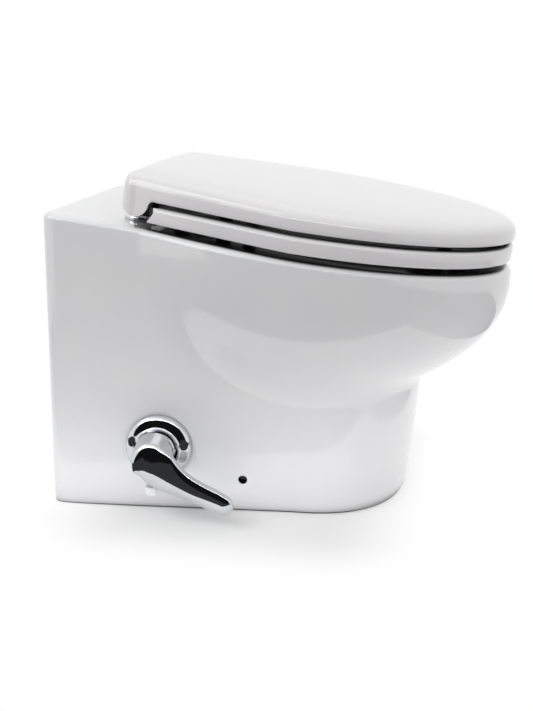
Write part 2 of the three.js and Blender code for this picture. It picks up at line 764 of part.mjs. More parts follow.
// Seat band: section points as shares across the band, from outside, and of its thickness.
const seatSectionShares = [
  [0.03, 0], [0, 0.12], [0, 0.72], [0.03, 0.91], [0.09, 1], [0.4, 0.98],
  [0.85, 0.74], [0.985, 0.42], [1, 0.16], [0.96, 0],
];

function seatBand() {
  const centre = (seatHoleBackX + seatHoleFrontX) / 2;
  const reach = (seatHoleFrontX - seatHoleBackX) / 2;
  return ringLoft(lidPlan(seatInset).map(([x, y]) => {
    const angle = Math.atan2(y, x - centre);
    const radius = superRadius(Math.cos(angle) / reach, Math.sin(angle) / seatHoleHalfWidth, 2);
    const inner = [centre + radius * Math.cos(angle), radius * Math.sin(angle)];
    return seatSectionShares.map(([across, up]) => [
      alongDeck(lerp(x, inner[0], across)), lerp(y, inner[1], across), seatLow + up * seatThickness]);
  }));
}

function seatRing() {
  const wide = lidHalfWidth + overrun;
  const lean = new THREE.Shape();
  const hornEnd = alongDeck(seatHornX);
  const leanPerHeight = seatHornLean / seatThickness;
  lean.moveTo(alongDeck(lidRearX) - overrun, seatLow - overrun);
  lean.lineTo(hornEnd - overrun * leanPerHeight, seatLow - overrun);
  lean.lineTo(hornEnd + seatHornLean + overrun * leanPerHeight, seatTop + overrun);
  lean.lineTo(alongDeck(lidRearX) - overrun, seatTop + overrun);
  const leanTool = solid(plate(lean, 2 * wide).rotateX(quarterTurn).translate(0, wide, 0));
  const bandTool = block([alongDeck(lidRearX) - overrun, -seatHornInner, seatLow - overrun],
    [alongDeck(seatBandX), seatHornInner, seatTop + overrun]);
  const arm = (side) => {
    const ends = [side * knuckleInner, side * knuckleOuter];
    const plank = block([0, Math.min(...ends), hingeHeight - knuckleRadius],
      [Math.max(alongDeck(seatBandX), hornEnd + seatHornLean) + overrun, Math.max(...ends), seatTop - clear]);
    return join(plank, rod(knuckleRadius, 'y', ...ends, hingeLine, midSides));
  };
  const bore = (side) => rod(pinRadius + clear, 'y', side * (knuckleInner - overrun),
    side * (knuckleOuter + overrun), hingeLine);
  return cut(join(cut(seatBand(), leanTool, bandTool), arm(-1), arm(1)), bore(-1), bore(1));
}

function hingePost(side) {
  const ends = [side * postInner, side * postOuter];
  const at = [0, side * hingeHalfSpacing];
  const neck = block([-postNeck, Math.min(...ends), clear], [postNeck, Math.max(...ends), hingeHeight]);
  const bolt = rod(hingeBoltRadius, 'z', -deckThickness - hingeBoltTail, hingeBaseHeight, at);
  const post = join(
    rod(hingeBaseRadius, 'z', clear, hingeBaseHeight, at, midSides),
    neck, rod(postHeadRadius, 'y', ...ends, hingeLine, midSides), bolt);
  const reach = [side * (postInner - overrun), side * (postOuter + overrun)];
  return cut(post, rod(pinRadius + clear, 'y', ...reach, hingeLine));
}

function hingeNut(side) {
  const top = -deckThickness - 2 * clear - washerThickness;
  const at = [0, side * hingeHalfSpacing];
  const wings = block([-2 * hingeNutRadius, at[1] - washerThickness / 2, top - hingeNutHeight],
    [2 * hingeNutRadius, at[1] + washerThickness / 2, top - clear]);
  const hub = rod(hingeNutRadius * nutHubShare, 'z', top - hingeNutHeight, top - clear, at);
  const thread = rod(hingeBoltRadius + clear, 'z', top - 2 * hingeNutHeight, top + overrun, at);
  return cut(join(hub, wings), thread);
}

function buildSeatAndLid() {
  const deck = new THREE.Group();
  deck.position.set(hingeX, 0, rimHeight(hingeX));
  deck.rotation.y = slopeAngle;
  toilet.add(deck);
  addPiece(deck, 'seat_ring', seatRing(), seatPlastic);
  addPiece(deck, 'lid', lidPiece(), seatPlastic);
  for (const [side, name] of [[-1, 'near'], [1, 'far']]) {
    addPiece(deck, `hinge_post_${name}`, hingePost(side), chrome);
    addPiece(deck, `hinge_pin_${name}`,
      rod(pinRadius, 'y', side * (knuckleInner + clear), side * (pinEnd - runningGap), hingeLine), steel);
    addPiece(deck, `lid_damper_${name}`, tube(damperRadius, pinRadius + clear, 'y',
      side * (postOuter + clear), side * (lobeInner - runningGap), hingeLine, midSides), blackPlastic);
    const washerTop = -deckThickness - clear;
    addPiece(deck, `hinge_washer_${name}`, tube(washerRadius, hingeBoltRadius + clear, 'z',
      washerTop - washerThickness, washerTop, [0, side * hingeHalfSpacing]), rubber);
    addPiece(deck, `hinge_nut_${name}`, hingeNut(side), whitePlastic);
  }
  bufferPlaces.forEach((place, i) => {
    addPiece(deck, `seat_buffer_${i + 1}`, rod(bufferRadius, 'z', clear, seatLow - clear, place), rubber);
    addPiece(deck, `lid_buffer_${i + 1}`,
      rod(lidBufferRadius, 'z', seatTop + clear, lidLow - clear, place), rubber);
  });
}

// Mixer pieces, in its own frame: Z out of the wall, X to the front along it, Y up.
const bellShares = [[0, 0.16], [0.1, 0.3], [0.3, 0.38], [0.55, 0.55], [0.8, 0.8], [1, 1]];

function escutcheon() {
  const inner = sleeveRadius + clear;
  return turned([
    [inner, clear], [escutcheonRadius, clear],
    ...bellShares.map(([across, up]) => [
      lerp(escutcheonRadius, inner, across), lerp(clear, escutcheonHeight, up)]),
    [inner, clear],
  ], wideSides);
}

function mixerSleeve() {
  const dome = [];
  const low = Math.asin((sleeveConeTop - leverPivot) / domeRadius);
  const high = Math.acos((cartridgeRadius + clear) / domeRadius);
  for (let i = 0; i <= domeSteps; i += 1) {
    const angle = lerp(low, high, i / domeSteps);
    dome.push([domeRadius * Math.cos(angle), leverPivot + domeRadius * Math.sin(angle)]);
  }
  const shank = valveShankRadius + clear;
  return turned([
    [shank, clear], [sleeveRadius, clear], [sleeveRadius, sleeveShoulder], ...dome,
    [cartridgeRadius + clear, sleeveShoulder + clear], [shank, sleeveShoulder + clear], [shank, clear],
  ], wideSides);
}

function valveBody() {
  const back = -valveStart - valveBodyDepth;
  const bore = cartridgeRadius + clear;
  const body = turned([
    [0, back], [valveBodyRadius, back], [valveBodyRadius, -valveStart], [valveShankRadius, -valveStart],
    [valveShankRadius, sleeveShoulder], [bore, sleeveShoulder], [bore, -valveStart - valveBodyDepth / 2],
    [0, -valveStart - valveBodyDepth / 2],
  ], midSides);
  const middle = -valveStart - valveBodyDepth / 2;
  const low = back + portRadius + clear;
  const outlet = rod(portRadius, 'y', valveBodyRadius / 2, valveBodyRadius + portLength, [0, low]);
  const inlet = (v) => rod(portRadius, 'x', -valveBodyRadius - portLength, -valveBodyRadius / 2, [v, low]);
  const spacing = portRadius + 2 * clear;
  const whole = join(body, outlet, inlet(-spacing), inlet(spacing));
  return cut(whole, rod(bore, 'z', middle, sleeveShoulder + overrun, [0, 0], wideSides));
}

function turret() {
  const low = leverPivot - turretFoot;
  const high = leverPivot + turretRise;
  const travel = Math.tan(THREE.MathUtils.degToRad(leverLift));
  const slotFloor = low + turretFloor;
  const slotHalf = stemRadius + runningGap;
  const slot = block([-turretRise * travel - slotHalf - runningGap, -slotHalf, slotFloor],
    [turretFoot * travel + slotHalf, slotHalf, high + overrun]);
  return cut(rod(turretRadius, 'z', low, high, [0, 0], midSides), slot,
    rod(pivotPinRadius + clear, 'y', -turretRadius - overrun, turretRadius + overrun, [0, leverPivot]));
}

// Stem of the cartridge, which rocks on the pin across the turret.
function leverStem() {
  return cut(rod(stemRadius, 'z', leverPivot - stemTail, stemTop, [0, 0]),
    rod(pivotPinRadius + clear, 'y', -stemRadius - overrun, stemRadius + overrun, [0, leverPivot]));
}

const leverBlendShare = 0.5;
const bellyBlendShare = 0.95;
const leverSectionPower = 2.5;
const undersidePower = 0.8;

// The handle grows out of the cap and narrows to its tip, whose end is round; its lower side
// hangs in a longer belly.
function leverHalfWidth(x, root, blendShare) {
  const tipCentre = leverLength - leverTipRadius;
  if (x > tipCentre) return Math.sqrt(Math.max(leverTipRadius ** 2 - (x - tipCentre) ** 2, 0));
  if (x < 0) return root * Math.sqrt(1 - (x / capRadius) ** 2);
  const share = clampShare(x / (blendShare * leverLength));
  return lerp(root, leverTipRadius, (1 - Math.cos(Math.PI * share)) / 2);
}

function handleUnderside(x) {
  const share = clampShare(x / (leverBlendShare * leverLength));
  return lerp(leverPivot + handleRise, capTop - leverTipThickness, share ** undersidePower);
}

function leverHandle() {
  const straight = leverPivot + capStraight;
  const rings = handleShares.map((share) => {
    const x = share * leverLength;
    const fullness = x < 0 ? Math.sqrt(1 - (x / capRadius) ** 2) : 1;
    const top = lerp(straight, capTop, fullness);
    const bottom = handleUnderside(x);
    const upper = leverHalfWidth(x, leverRootHalfWidth, leverBlendShare);
    const lower = leverHalfWidth(x, leverBellyDepth, bellyBlendShare);
    const squash = Math.sqrt(Math.min(upper / leverTipRadius, 1));
    const [middle, half] = [(top + bottom) / 2, ((top - bottom) / 2) * squash];
    return Array.from({ length: handleSides }, (_, i) => {
      const angle = (i / handleSides) * 2 * Math.PI;
      const c = Math.cos(angle);
      const radius = superRadius(c, Math.sin(angle), leverSectionPower);
      return [x, (c > 0 ? upper : lower) * radius * c, middle + half * radius * Math.sin(angle)];
    });
  });
  const [startX, endX] = [handleShares[0] * leverLength, leverLength];
  return loft(rings, [startX, 0, straight], [endX, 0, capTop - leverTipThickness / 2]);
}

// The plug hangs straight down from the mixer's axis, out of the handle's belly.
const plugHeight = (capTop + handleUnderside(plugReach * Math.sin(THREE.MathUtils.degToRad(leverDroop)))) / 2;

const plugRod = (radius, from, to) => rod(radius, 'x', from, to, [0, plugHeight], midSides)
  .rotate([0, 0, leverDroop - fullTurn / 4]);

function lever() {
  const low = leverPivot - runningGap;
  const straight = leverPivot + capStraight;
  const profile = [[0, low], [capRadius, low], [capRadius, straight]];
  for (let i = 1; i <= domeSteps; i += 1) {
    const angle = (i / domeSteps) * quarterTurn;
    profile.push([capRadius * Math.cos(angle), straight + (capTop - straight) * Math.sin(angle)]);
  }
  const cap = turned(profile, wideSides);
  const hollow = ball(domeRadius + domeGap, [0, 0, leverPivot]);
  const socket = rod(stemRadius + clear, 'z', leverPivot, stemTop + clear, [0, 0]);
  const plugBore = plugRod(plugRadius + clear, plugReach - plugLength - clear, plugReach + overrun);
  return cut(join(cap, leverHandle()), hollow, socket, plugBore);
}

function buildMixer() {
  const mixer = new THREE.Group();
  mixer.position.set(mixerX, -mixerStandOff, mixerZ);
  mixer.rotation.set(quarterTurn, 0, mixerAngle, 'ZYX');
  toilet.add(mixer);
  addPiece(mixer, 'mixer_escutcheon', escutcheon(), chrome);
  addPiece(mixer, 'mixer_sleeve', mixerSleeve(), chrome);
  addPiece(mixer, 'mixer_valve_body', valveBody(), brass);
  addPiece(mixer, 'mixer_cartridge', rod(cartridgeRadius, 'z', -valveStart - valveBodyDepth / 2 + clear,
    leverPivot - turretFoot - clear, [0, 0], midSides), greyPlastic);
  const turn = new THREE.Group();
  turn.rotation.z = -THREE.MathUtils.degToRad(leverDroop);
  mixer.add(turn);
  addPiece(turn, 'cartridge_turret', turret(), whitePlastic);
  const pinReach = turretRadius - pivotPinInset;
  addPiece(turn, 'lever_pivot_pin', rod(pivotPinRadius, 'y', -pinReach, pinReach, [0, leverPivot]), steel);
  addPiece(turn, 'lever_stem', leverStem(), steel);
  addPiece(turn, 'mixer_lever', lever(), chrome);
  addPiece(turn, 'lever_index_plug', plugRod(plugRadius, plugReach - plugLength, plugReach), whitePlastic);
}

// Macerator pump, from the bowl's outlet back along -X.
const coverFront = spigotBack - 2 * clear;
const coverPlateFront = coverFront - neckLength;
const coverBack = coverPlateFront - coverThickness;
const housingFront = coverBack - clear;
const housingRear = housingFront - housingDepth;
const chamberRear = housingRear + housingBack;
const motorFront = housingRear - clear;
const motorRear = motorFront - motorLength;
const endCapFront = motorRear - clear;
const pumpAt = [0, outletHeight];

function pumpHousing() {
  const cup = cut(rod(pumpRadius, 'x', housingRear, housingFront, pumpAt, wideSides),
    rod(chamberRadius, 'x', chamberRear, housingFront + overrun, pumpAt, wideSides));
  const middle = (chamberRear + housingFront) / 2;
  const port = rod(dischargeRadius, 'z', outletHeight, dischargeTop, [middle, dischargeY], midSides);
  const bore = rod(dischargeBore, 'z', outletHeight, dischargeTop + overrun, [middle, dischargeY]);
  const chamber = rod(chamberRadius, 'x', chamberRear, housingFront + overrun, pumpAt, wideSides);
  return cut(join(cup, port), bore, chamber,
    rod(shaftRadius + sealWall, 'x', housingRear - overrun, chamberRear + overrun, pumpAt, midSides));
}

function maceratorCover() {
  const plateSolid = rod(pumpRadius, 'x', coverBack, coverPlateFront, pumpAt, wideSides);
  const neck = rod(spigotRadius, 'x', coverPlateFront - overrun, coverFront, pumpAt, midSides);
  const bore = rod(outletRadius, 'x', coverBack - overrun, coverFront + overrun, pumpAt, midSides);
  return cut(join(plateSolid, neck), bore);
}

const bladeFront = housingFront - runningGap - clear;
const bladeBack = bladeFront - bladeThickness;
const impellerFront = bladeBack - clear;
const impellerHubBack = chamberRear + 2 * runningGap;

function chopperBlade() {
  const arms = block([bladeBack, -bladeReach, outletHeight - bladeWidth / 2],
    [bladeFront, bladeReach, outletHeight + bladeWidth / 2]);
  const hub = rod(shaftRadius + hubWall, 'x', bladeBack, bladeFront, pumpAt);
  const bore = rod(shaftRadius + clear, 'x', bladeBack - overrun, bladeFront + overrun, pumpAt);
  return cut(join(arms, hub), bore);
}

function impeller() {
  const disc = rod(impellerRadius, 'x', impellerHubBack, impellerHubBack + vaneThickness, pumpAt, wideSides);
  const hub = rod(shaftRadius + hubWall, 'x', impellerHubBack, impellerFront, pumpAt);
  const vanes = Array.from({ length: vaneCount }, (_, i) => {
    const vane = block([impellerHubBack, shaftRadius + clear, -vaneThickness / 2],
      [impellerFront, impellerRadius, vaneThickness / 2]);
    return vane.rotate([(fullTurn * i) / vaneCount, 0, 0]).translate([0, 0, outletHeight]);
  });
  return cut(join(disc, hub, ...vanes),
    rod(shaftRadius + clear, 'x', impellerHubBack - overrun, impellerFront + overrun, pumpAt));
}

function motorCan() {
  const plateBack = motorFront - frontPlate;
  const hollow = rod(motorRadius - motorWall, 'x', motorRear - overrun, plateBack, pumpAt, wideSides);
  const boss = rod(bearingBoss, 'x', plateBack - bearingWidth - clear, plateBack, pumpAt);
  const seat = rod(bearingRadius + clear, 'x', plateBack - 2 * bearingWidth, plateBack, pumpAt, midSides);
  const shell = join(cut(rod(motorRadius, 'x', motorRear, motorFront, pumpAt, wideSides), hollow), boss);
  const shaftHole = rod(shaftRadius + runningGap, 'x', plateBack - frontPlate, motorFront + overrun, pumpAt);
  return cut(shell, seat, shaftHole);
}

function motorEndCap() {
  const plateSolid = rod(motorRadius, 'x', endCapFront - endCapThickness, endCapFront, pumpAt, wideSides);
  const boss = rod(bearingBoss, 'x', endCapFront - overrun, endCapFront + bearingWidth + clear, pumpAt);
  return cut(join(plateSolid, boss),
    rod(bearingRadius + clear, 'x', endCapFront, endCapFront + 2 * bearingWidth, pumpAt, midSides));
}

function armature() {
  const length = [motorRear + armatureEnd, motorFront - frontPlate - armatureEnd];
  const core = rod(armatureRadius, 'x', ...length, pumpAt, wideSides);
  const slots = Array.from({ length: slotCount }, (_, i) => block(
    [length[0] - overrun, armatureRadius - slotDepth, -slotWidth / 2],
    [length[1] + overrun, armatureRadius + overrun, slotWidth / 2],
  ).rotate([(fullTurn * i) / slotCount, 0, 0]).translate([0, 0, outletHeight]));
  return cut(core, ...slots, rod(shaftRadius + clear, 'x', length[0] - overrun, length[1] + overrun, pumpAt));
}

// Saddle under the motor on a foot that screws to the floor.
function pumpBracket() {
  const middle = (motorFront + motorRear) / 2;
  const [rear, front] = [middle - bracketWidth / 2, middle + bracketWidth / 2];
  const half = motorRadius * saddleWidthShare;
  const arch = outletHeight - motorRadius - bracketWall;
  const saddle = cut(
    block([rear, -half, bracketWall / 2], [front, half, outletHeight - motorRadius * saddleDropShare]),
    rod(motorRadius + clear, 'x', rear - overrun, front + overrun, pumpAt, wideSides),
    block([rear - overrun, bracketWall - half, bracketWall], [front + overrun, half - bracketWall, arch]));
  const reach = motorRadius + bracketFoot;
  const foot = block([rear, -reach, 0], [front, reach, bracketWall]);
  const holes = [-1, 1].flatMap((side) => [rear, front].map((edge) => rod(
    bracketHoleRadius, 'z', -overrun, bracketWall + overrun,
    [lerp(edge, middle, bracketHoleShare), side * (reach - bracketFoot / 2)])));
  return cut(join(saddle, foot), ...holes);
}

const elbowMiddle = [(chamberRear + housingFront) / 2, dischargeY];
const riserTop = dischargeTop + clear + riserLength;
const elbowTop = dischargeTop + clear + elbowReach;

function dischargeElbow() {
  const [x] = elbowMiddle;
  const start = riserTop + clear;
  const bend = elbowTop - start - elbowStraight;
  const path = [
    [x, dischargeY, start], [x, dischargeY, start + elbowStraight],
    [x - bend * (1 - Math.SQRT1_2), dischargeY, elbowTop - bend * (1 - Math.SQRT1_2)],
    [x - bend, dischargeY, elbowTop], [x - elbowReach, dischargeY, elbowTop],
  ];
  return cut(sweptRod(dischargeRadius, path, elbowSteps, smallSides),
    sweptRod(dischargeBore, path, elbowSteps, smallSides));
}

// Hose tail: a flange, a pipe and barbs, as one revolve about X.
function dischargeTail() {
  const bore = dischargeBore - sleeveWall / 2;
  const pipe = dischargeBore + sleeveWall / 2;
  const flange = dischargeRadius + sleeveWall;
  const profile = [[bore, 0], [flange, 0], [flange, sleeveWall], [pipe, sleeveWall]];
  for (const share of barbShares) {
    const start = share * tailLength;
    profile.push([pipe, start], [dischargeRadius, start], [pipe, start + barbWidth]);
  }
  profile.push([pipe, tailLength], [bore, tailLength], [bore, 0]);
  const points = profile.map(([radius, along]) => new THREE.Vector2(radius, along));
  const front = elbowMiddle[0] - elbowReach - valveThickness - 2 * clear;
  const revolved = new THREE.LatheGeometry(points, smallSides).rotateZ(quarterTurn);
  return solid(revolved.translate(front, dischargeY, elbowTop));
}

function buildPump() {
  addPiece(toilet, 'bowl_outlet_sleeve', tube(spigotRadius + clear + sleeveWall, spigotRadius + clear, 'x',
    coverPlateFront + clear, spigotBack + spigotLength / 2, pumpAt, midSides), rubber);
  addPiece(toilet, 'macerator_cover', maceratorCover(), blackPlastic);
  addPiece(toilet, 'pump_housing', pumpHousing(), blackPlastic);
  addPiece(toilet, 'chopper_blade', chopperBlade(), steel);
  addPiece(toilet, 'impeller', impeller(), greyPlastic);
  addPiece(toilet, 'shaft_seal', tube(shaftRadius + sealWall - clear, shaftRadius + runningGap, 'x',
    housingRear + clear, chamberRear - clear, pumpAt, midSides), rubber);
  addPiece(toilet, 'motor_shaft',
    rod(shaftRadius, 'x', endCapFront + clear, bladeFront, pumpAt), steel);
  addPiece(toilet, 'armature', armature(), copper);
  const bearingFront = motorFront - frontPlate - clear;
  addPiece(toilet, 'front_bearing', tube(bearingRadius, shaftRadius + runningGap, 'x',
    bearingFront - bearingWidth, bearingFront, pumpAt, midSides), steel);
  addPiece(toilet, 'rear_bearing', tube(bearingRadius, shaftRadius + runningGap, 'x',
    endCapFront + clear, endCapFront + clear + bearingWidth, pumpAt, midSides), steel);
  addPiece(toilet, 'motor_can', motorCan(), motorPaint);
  addPiece(toilet, 'motor_end_cap', motorEndCap(), motorPaint);
  addPiece(toilet, 'pump_bracket', pumpBracket(), steel);
  addPiece(toilet, 'discharge_riser', tube(dischargeRadius, dischargeBore, 'z',
    dischargeTop + clear, riserTop, elbowMiddle, smallSides), blackPlastic);
  addPiece(toilet, 'discharge_elbow', dischargeElbow(), blackPlastic);
  const valveFront = elbowMiddle[0] - elbowReach - clear;
  addPiece(toilet, 'joker_valve', tube(dischargeRadius + sleeveWall, dischargeBore / 2, 'x',
    valveFront - valveThickness, valveFront, [dischargeY, elbowTop], midSides), rubber);
  addPiece(toilet, 'discharge_tail', dischargeTail(), blackPlastic);
}

// Rinse and bidet nozzles through the back of the bowl under the deck.
const shankRear = nozzleNutX - nozzleShankLength;

function nozzle(side) {
  const at = [side * nozzleY, nozzleZ];
  const face = nozzleFaceX + clear;
  return join(rod(nozzleHeadRadius, 'x', face, face + nozzleHeadLength, at, midSides),
    rod(nozzleShankRadius, 'x', shankRear, face + clear, at));
}

function nozzleNut(side) {
  const at = [side * nozzleY, nozzleZ];
  return cut(rod(nozzleNutRadius, 'x', nozzleNutX - nozzleNutLength, nozzleNutX, at, 6),
    rod(nozzleShankRadius + clear, 'x', nozzleNutX - nozzleNutLength - overrun, nozzleNutX + overrun, at));
}

function solenoidValve() {
  const front = shankRear - clear;
  const half = valveBlock / 2;
  const at = [nozzleY, nozzleZ];
  const body = block([front - valveBlock, at[0] - half / 2, at[1] - half / 2],
    [front, at[0] + half / 2, at[1] + half / 2]);
  const inlet = rod(portRadius, 'x', front - valveBlock - portLength, front - valveBlock + overrun, at);
  const core = rod(portRadius, 'z', at[1] - half - coilLength / 2, at[1], [front - half, at[0]]);
  return join(body, inlet, core);
}

// Route of the bidet hose, as shares of its bow to the back, of the way across and of its rise:
// first counted from the mixer's port, then back from the nozzle.
const hoseLeaveShares = [[0, 0, 0], [0, 0, 0.15], [0.3, 0.06, 0.45], [0.75, 0.35, 0.78]];
const hoseArriveShares = [[0.9, 0.28, 0.05], [0.45, 0.04, 0], [0.2, 0, 0], [0, 0, 0]];

function bidetHose() {
  const portDepth = valveStart + valveBodyDepth - portRadius - clear;
  const port = new THREE.Vector3(0, valveBodyRadius + portLength + clear, -portDepth);
  port.applyEuler(new THREE.Euler(quarterTurn, 0, mixerAngle, 'ZYX'));
  port.add(new THREE.Vector3(mixerX, -mixerStandOff, mixerZ));
  const end = new THREE.Vector3(shankRear - clear, -nozzleY, nozzleZ);
  const across = end.y - port.y;
  const rise = end.z - port.z;
  const leave = hoseLeaveShares.map(([bow, over, up]) => [
    port.x - bow * hoseBow, port.y + over * across, port.z + up * rise]);
  const arrive = hoseArriveShares.map(([bow, over, down]) => [
    end.x - bow * hoseBow, end.y - over * across, end.z - down * rise]);
  return sweptRod(hoseRadius, leave.concat(arrive), hoseSteps, hoseSides);
}

function buildWater() {
  addPiece(toilet, 'bidet_nozzle', nozzle(-1), chrome);
  addPiece(toilet, 'bidet_nozzle_nut', nozzleNut(-1), brass);
  addPiece(toilet, 'bidet_hose', bidetHose(), rubber);
  addPiece(toilet, 'rinse_nozzle', nozzle(1), whitePlastic);
  addPiece(toilet, 'rinse_nozzle_nut', nozzleNut(1), whitePlastic);
  addPiece(toilet, 'solenoid_valve', solenoidValve(), whitePlastic);
  const front = shankRear - clear;
  const coilTop = nozzleZ - valveBlock / 4 - clear;
  addPiece(toilet, 'solenoid_coil', tube(coilRadius, portRadius + clear, 'z',
    coilTop - coilLength, coilTop, [front - valveBlock / 2, nozzleY], midSides), blackPlastic);
}

// Control box flat against the far side wall, with a cable gland under it.
function buildControlBox() {
  const [low, top] = [boxZ - boxHeight / 2, boxZ + boxHeight / 2];
  const lean = Math.atan(basePlan(top / bodyHeight(boxX)).taper);
  const onWall = new THREE.Group();
  onWall.position.set(boxX, sideHalfWidth(boxX, top) - wall / Math.cos(lean), 0);
  onWall.rotation.z = -lean;
  toilet.add(onWall);
  const half = boxLength / 2;
  const back = -boxSeat;
  const front = back - boxDepth;
  const hollow = block([boxWall - half, front - overrun, low + boxWall],
    [half - boxWall, back - boxWall, top - boxWall]);
  const glandAt = [half / 2, (front + back) / 2];
  const neck = glandRadius * glandNeckShare;
  const glandHole = rod(neck + clear, 'z', low - overrun, low + 2 * boxWall, glandAt);
  const shell = cut(block([-half, front, low], [half, back, top]), hollow, glandHole);
  addPiece(onWall, 'control_box', shell, greyPlastic);
  addPiece(onWall, 'control_box_cover',
    block([-half, front - boxCoverDepth - clear, low], [half, front - clear, top]), greyPlastic);
  const gland = join(rod(glandRadius, 'z', low - clear - glandRadius, low - clear, glandAt, 6),
    rod(neck, 'z', low - clear - overrun, low + boxWall, glandAt));
  const cable = rod(glandRadius * glandBoreShare, 'z', low - 2 * glandRadius, low + 2 * boxWall, glandAt);
  addPiece(onWall, 'cable_gland', cut(gland, cable), blackPlastic);
}

// Angle brackets that screw to the floor; the side fixings go into their upright leg.
function buildFloorBrackets() {
  const half = floorBracketLength / 2;
  const taper = basePlan(fixingHoleZ / bodyHeight(fixingHoleX)).taper;
  const wallAt = (height) => sideHalfWidth(fixingHoleX, height) - wall;
  for (const [side, name] of [[-1, 'near'], [1, 'far']]) {
    const angle = new THREE.Group();
    angle.position.set(fixingHoleX, side * Math.min(wallAt(0), wallAt(floorBracketHeight)), 0);
    angle.rotation.z = -side * Math.atan(taper);
    toilet.add(angle);
    const wallSide = -side * bracketSeat;
    const legInner = wallSide - side * floorBracketWall;
    const toe = wallSide - side * floorBracketReach;
    const across = (y, height) => block(
      [-half, Math.min(y, wallSide), 0], [half, Math.max(y, wallSide), height]);
    const leg = across(legInner, floorBracketHeight);
    const foot = across(toe, floorBracketWall);
    const screwHole = rod(fixingHoleRadius - 1, 'y', toe, wallSide + side * overrun, [0, fixingHoleZ]);
    const floorHole = rod(fixingHoleRadius, 'z', -overrun, 2 * floorBracketWall, [0, (toe + legInner) / 2]);
    addPiece(angle, `floor_bracket_${name}`, cut(join(leg, foot), screwHole, floorHole), steel);
  }
}

addPiece(toilet, 'ceramic_body', ceramicBody(), china);
buildSeatAndLid();
buildMixer();
buildPump();
buildWater();
buildControlBox();
buildFloorBrackets();

const assembly = new THREE.Group();
toilet.position.set(-bodyLength / 2, centreShift, 0);
assembly.add(toilet);

export default assembly;
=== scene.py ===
# Electric marine toilet: glazed china, thermoset seat and lid, chrome side mixer, macerator pump.
# Sizes are millimetres until a point is placed; Blender and the frame are in metres.
import json
import math

import bmesh
import bpy
from mathutils import Matrix, Vector

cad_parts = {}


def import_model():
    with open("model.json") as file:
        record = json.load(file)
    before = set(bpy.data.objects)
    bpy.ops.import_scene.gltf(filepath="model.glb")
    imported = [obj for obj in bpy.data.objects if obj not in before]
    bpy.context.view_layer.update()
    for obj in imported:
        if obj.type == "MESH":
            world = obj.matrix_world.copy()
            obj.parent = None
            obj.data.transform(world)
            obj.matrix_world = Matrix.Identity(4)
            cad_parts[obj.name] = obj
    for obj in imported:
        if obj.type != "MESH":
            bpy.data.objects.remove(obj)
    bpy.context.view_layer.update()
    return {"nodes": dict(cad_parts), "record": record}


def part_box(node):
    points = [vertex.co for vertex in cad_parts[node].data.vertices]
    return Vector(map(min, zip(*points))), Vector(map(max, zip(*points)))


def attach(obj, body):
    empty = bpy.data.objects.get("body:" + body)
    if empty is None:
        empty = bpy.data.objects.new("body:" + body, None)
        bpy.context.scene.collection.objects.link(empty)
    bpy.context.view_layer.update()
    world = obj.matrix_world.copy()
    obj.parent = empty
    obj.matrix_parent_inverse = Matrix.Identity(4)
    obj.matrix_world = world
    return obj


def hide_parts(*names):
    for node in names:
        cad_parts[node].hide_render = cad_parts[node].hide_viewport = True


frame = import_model()

# Sizes of the china
BODY_LENGTH = 496
BOWL_WIDTH = 362
REAR_HEIGHT = 322
FRONT_HEIGHT = 261
DECK_WIDTH = 279
FOOT_REAR_WIDTH = 306
FOOT_WAIST_WIDTH = 256
NECK_WAIST_WIDTH = 262
WAIST_X = 272
FOOT_BACK_X = 5
FOOT_FRONT_X = 389
NECK_FRONT_X = 403
NECK_HEIGHT = 145
BULGE_DEPTH = 187
BULGE_FRONT_DEPTH = 158
BULGE_TOP_DROP = 8
BULGE_REAR_LENGTH = 239
BLEND_WIDTH = 30
FRONT_BLEND_WIDTH = 8
BACK_CORNER = 13
RIM_EDGE = 7
FOOT_EDGE = 2
FOOT_EDGE_STEPS = 4
WALL = 9
DECK_THICKNESS = 12
BASE_FRONT_POWER = 2.4
NECK_CURVE_POWER = 0.6
CENTRE_SHIFT = 4

# Bowl, sump and outlet
OPEN_BACK_X = 150
OPEN_FRONT_X = 466
OPEN_HALF_WIDTH = 112
LIP_ROUND = 5
SUMP_X = 245
SUMP_RADIUS = 34
SUMP_TOP = 95
SUMP_FLOOR = 42
OUTLET_HEIGHT = 66
OUTLET_RADIUS = 22
SPIGOT_RADIUS = 29
SPIGOT_LENGTH = 24

# Holes in the china
SERVICE_HALF_WIDTH = 85
SERVICE_LOW = 28
SERVICE_HIGH = 235
SERVICE_CORNER = 25
FIXING_X = 218.5
FIXING_Z = 36
FIXING_RADIUS = 5
FIXING_RELIEF = 9
FIXING_SKIN = 2
TAP_HOLE_RADIUS = 17.5
HINGE_BOLT_HOLE = 6.5
NOZZLE_DROP = 32
NOZZLE_Y = 30
NOZZLE_HOLE = 7.5

# Seat, lid and hinge, in the deck's own frame
HINGE_X = 99.5
HINGE_HEIGHT = 25
HINGE_SPACING = 90
SEAT_GAP = 8.4
SEAT_THICKNESS = 17.4
LID_GAP = 4.9
LID_THICKNESS = 25.5
LID_FRONT_FALL = 8
LID_CROWN = 4
LID_WALL = 6
LID_FRONT_X = 494
LID_HALF_WIDTH = 187
LID_REAR_HALF_WIDTH = 141
LID_CORNER = 14
LID_SHOULDER = 38
LID_BACK_SHOULDER = 18
SEAT_INSET = 0.2
SEAT_HORN_X = 117.5
SEAT_HORN_LEAN = 11
SEAT_HORN_BEVEL = 2.6
SEAT_HOLE_BACK_X = 176
SEAT_HOLE_FRONT_X = 440
SEAT_HOLE_HALF_WIDTH = 103
FLARE_POWER = 1.1
LOBE_RADIUS = 13.5
LOBE_WIDTH = 18
LOBE_ROUND = 16
LOBE_LIFT = 3.5
LOBE_FILLET = 4
LOBE_FILLET_BEND = 0.4
LOBE_FILLET_DROP = 0.1
POST_WIDTH = 14
POST_HEAD = 9
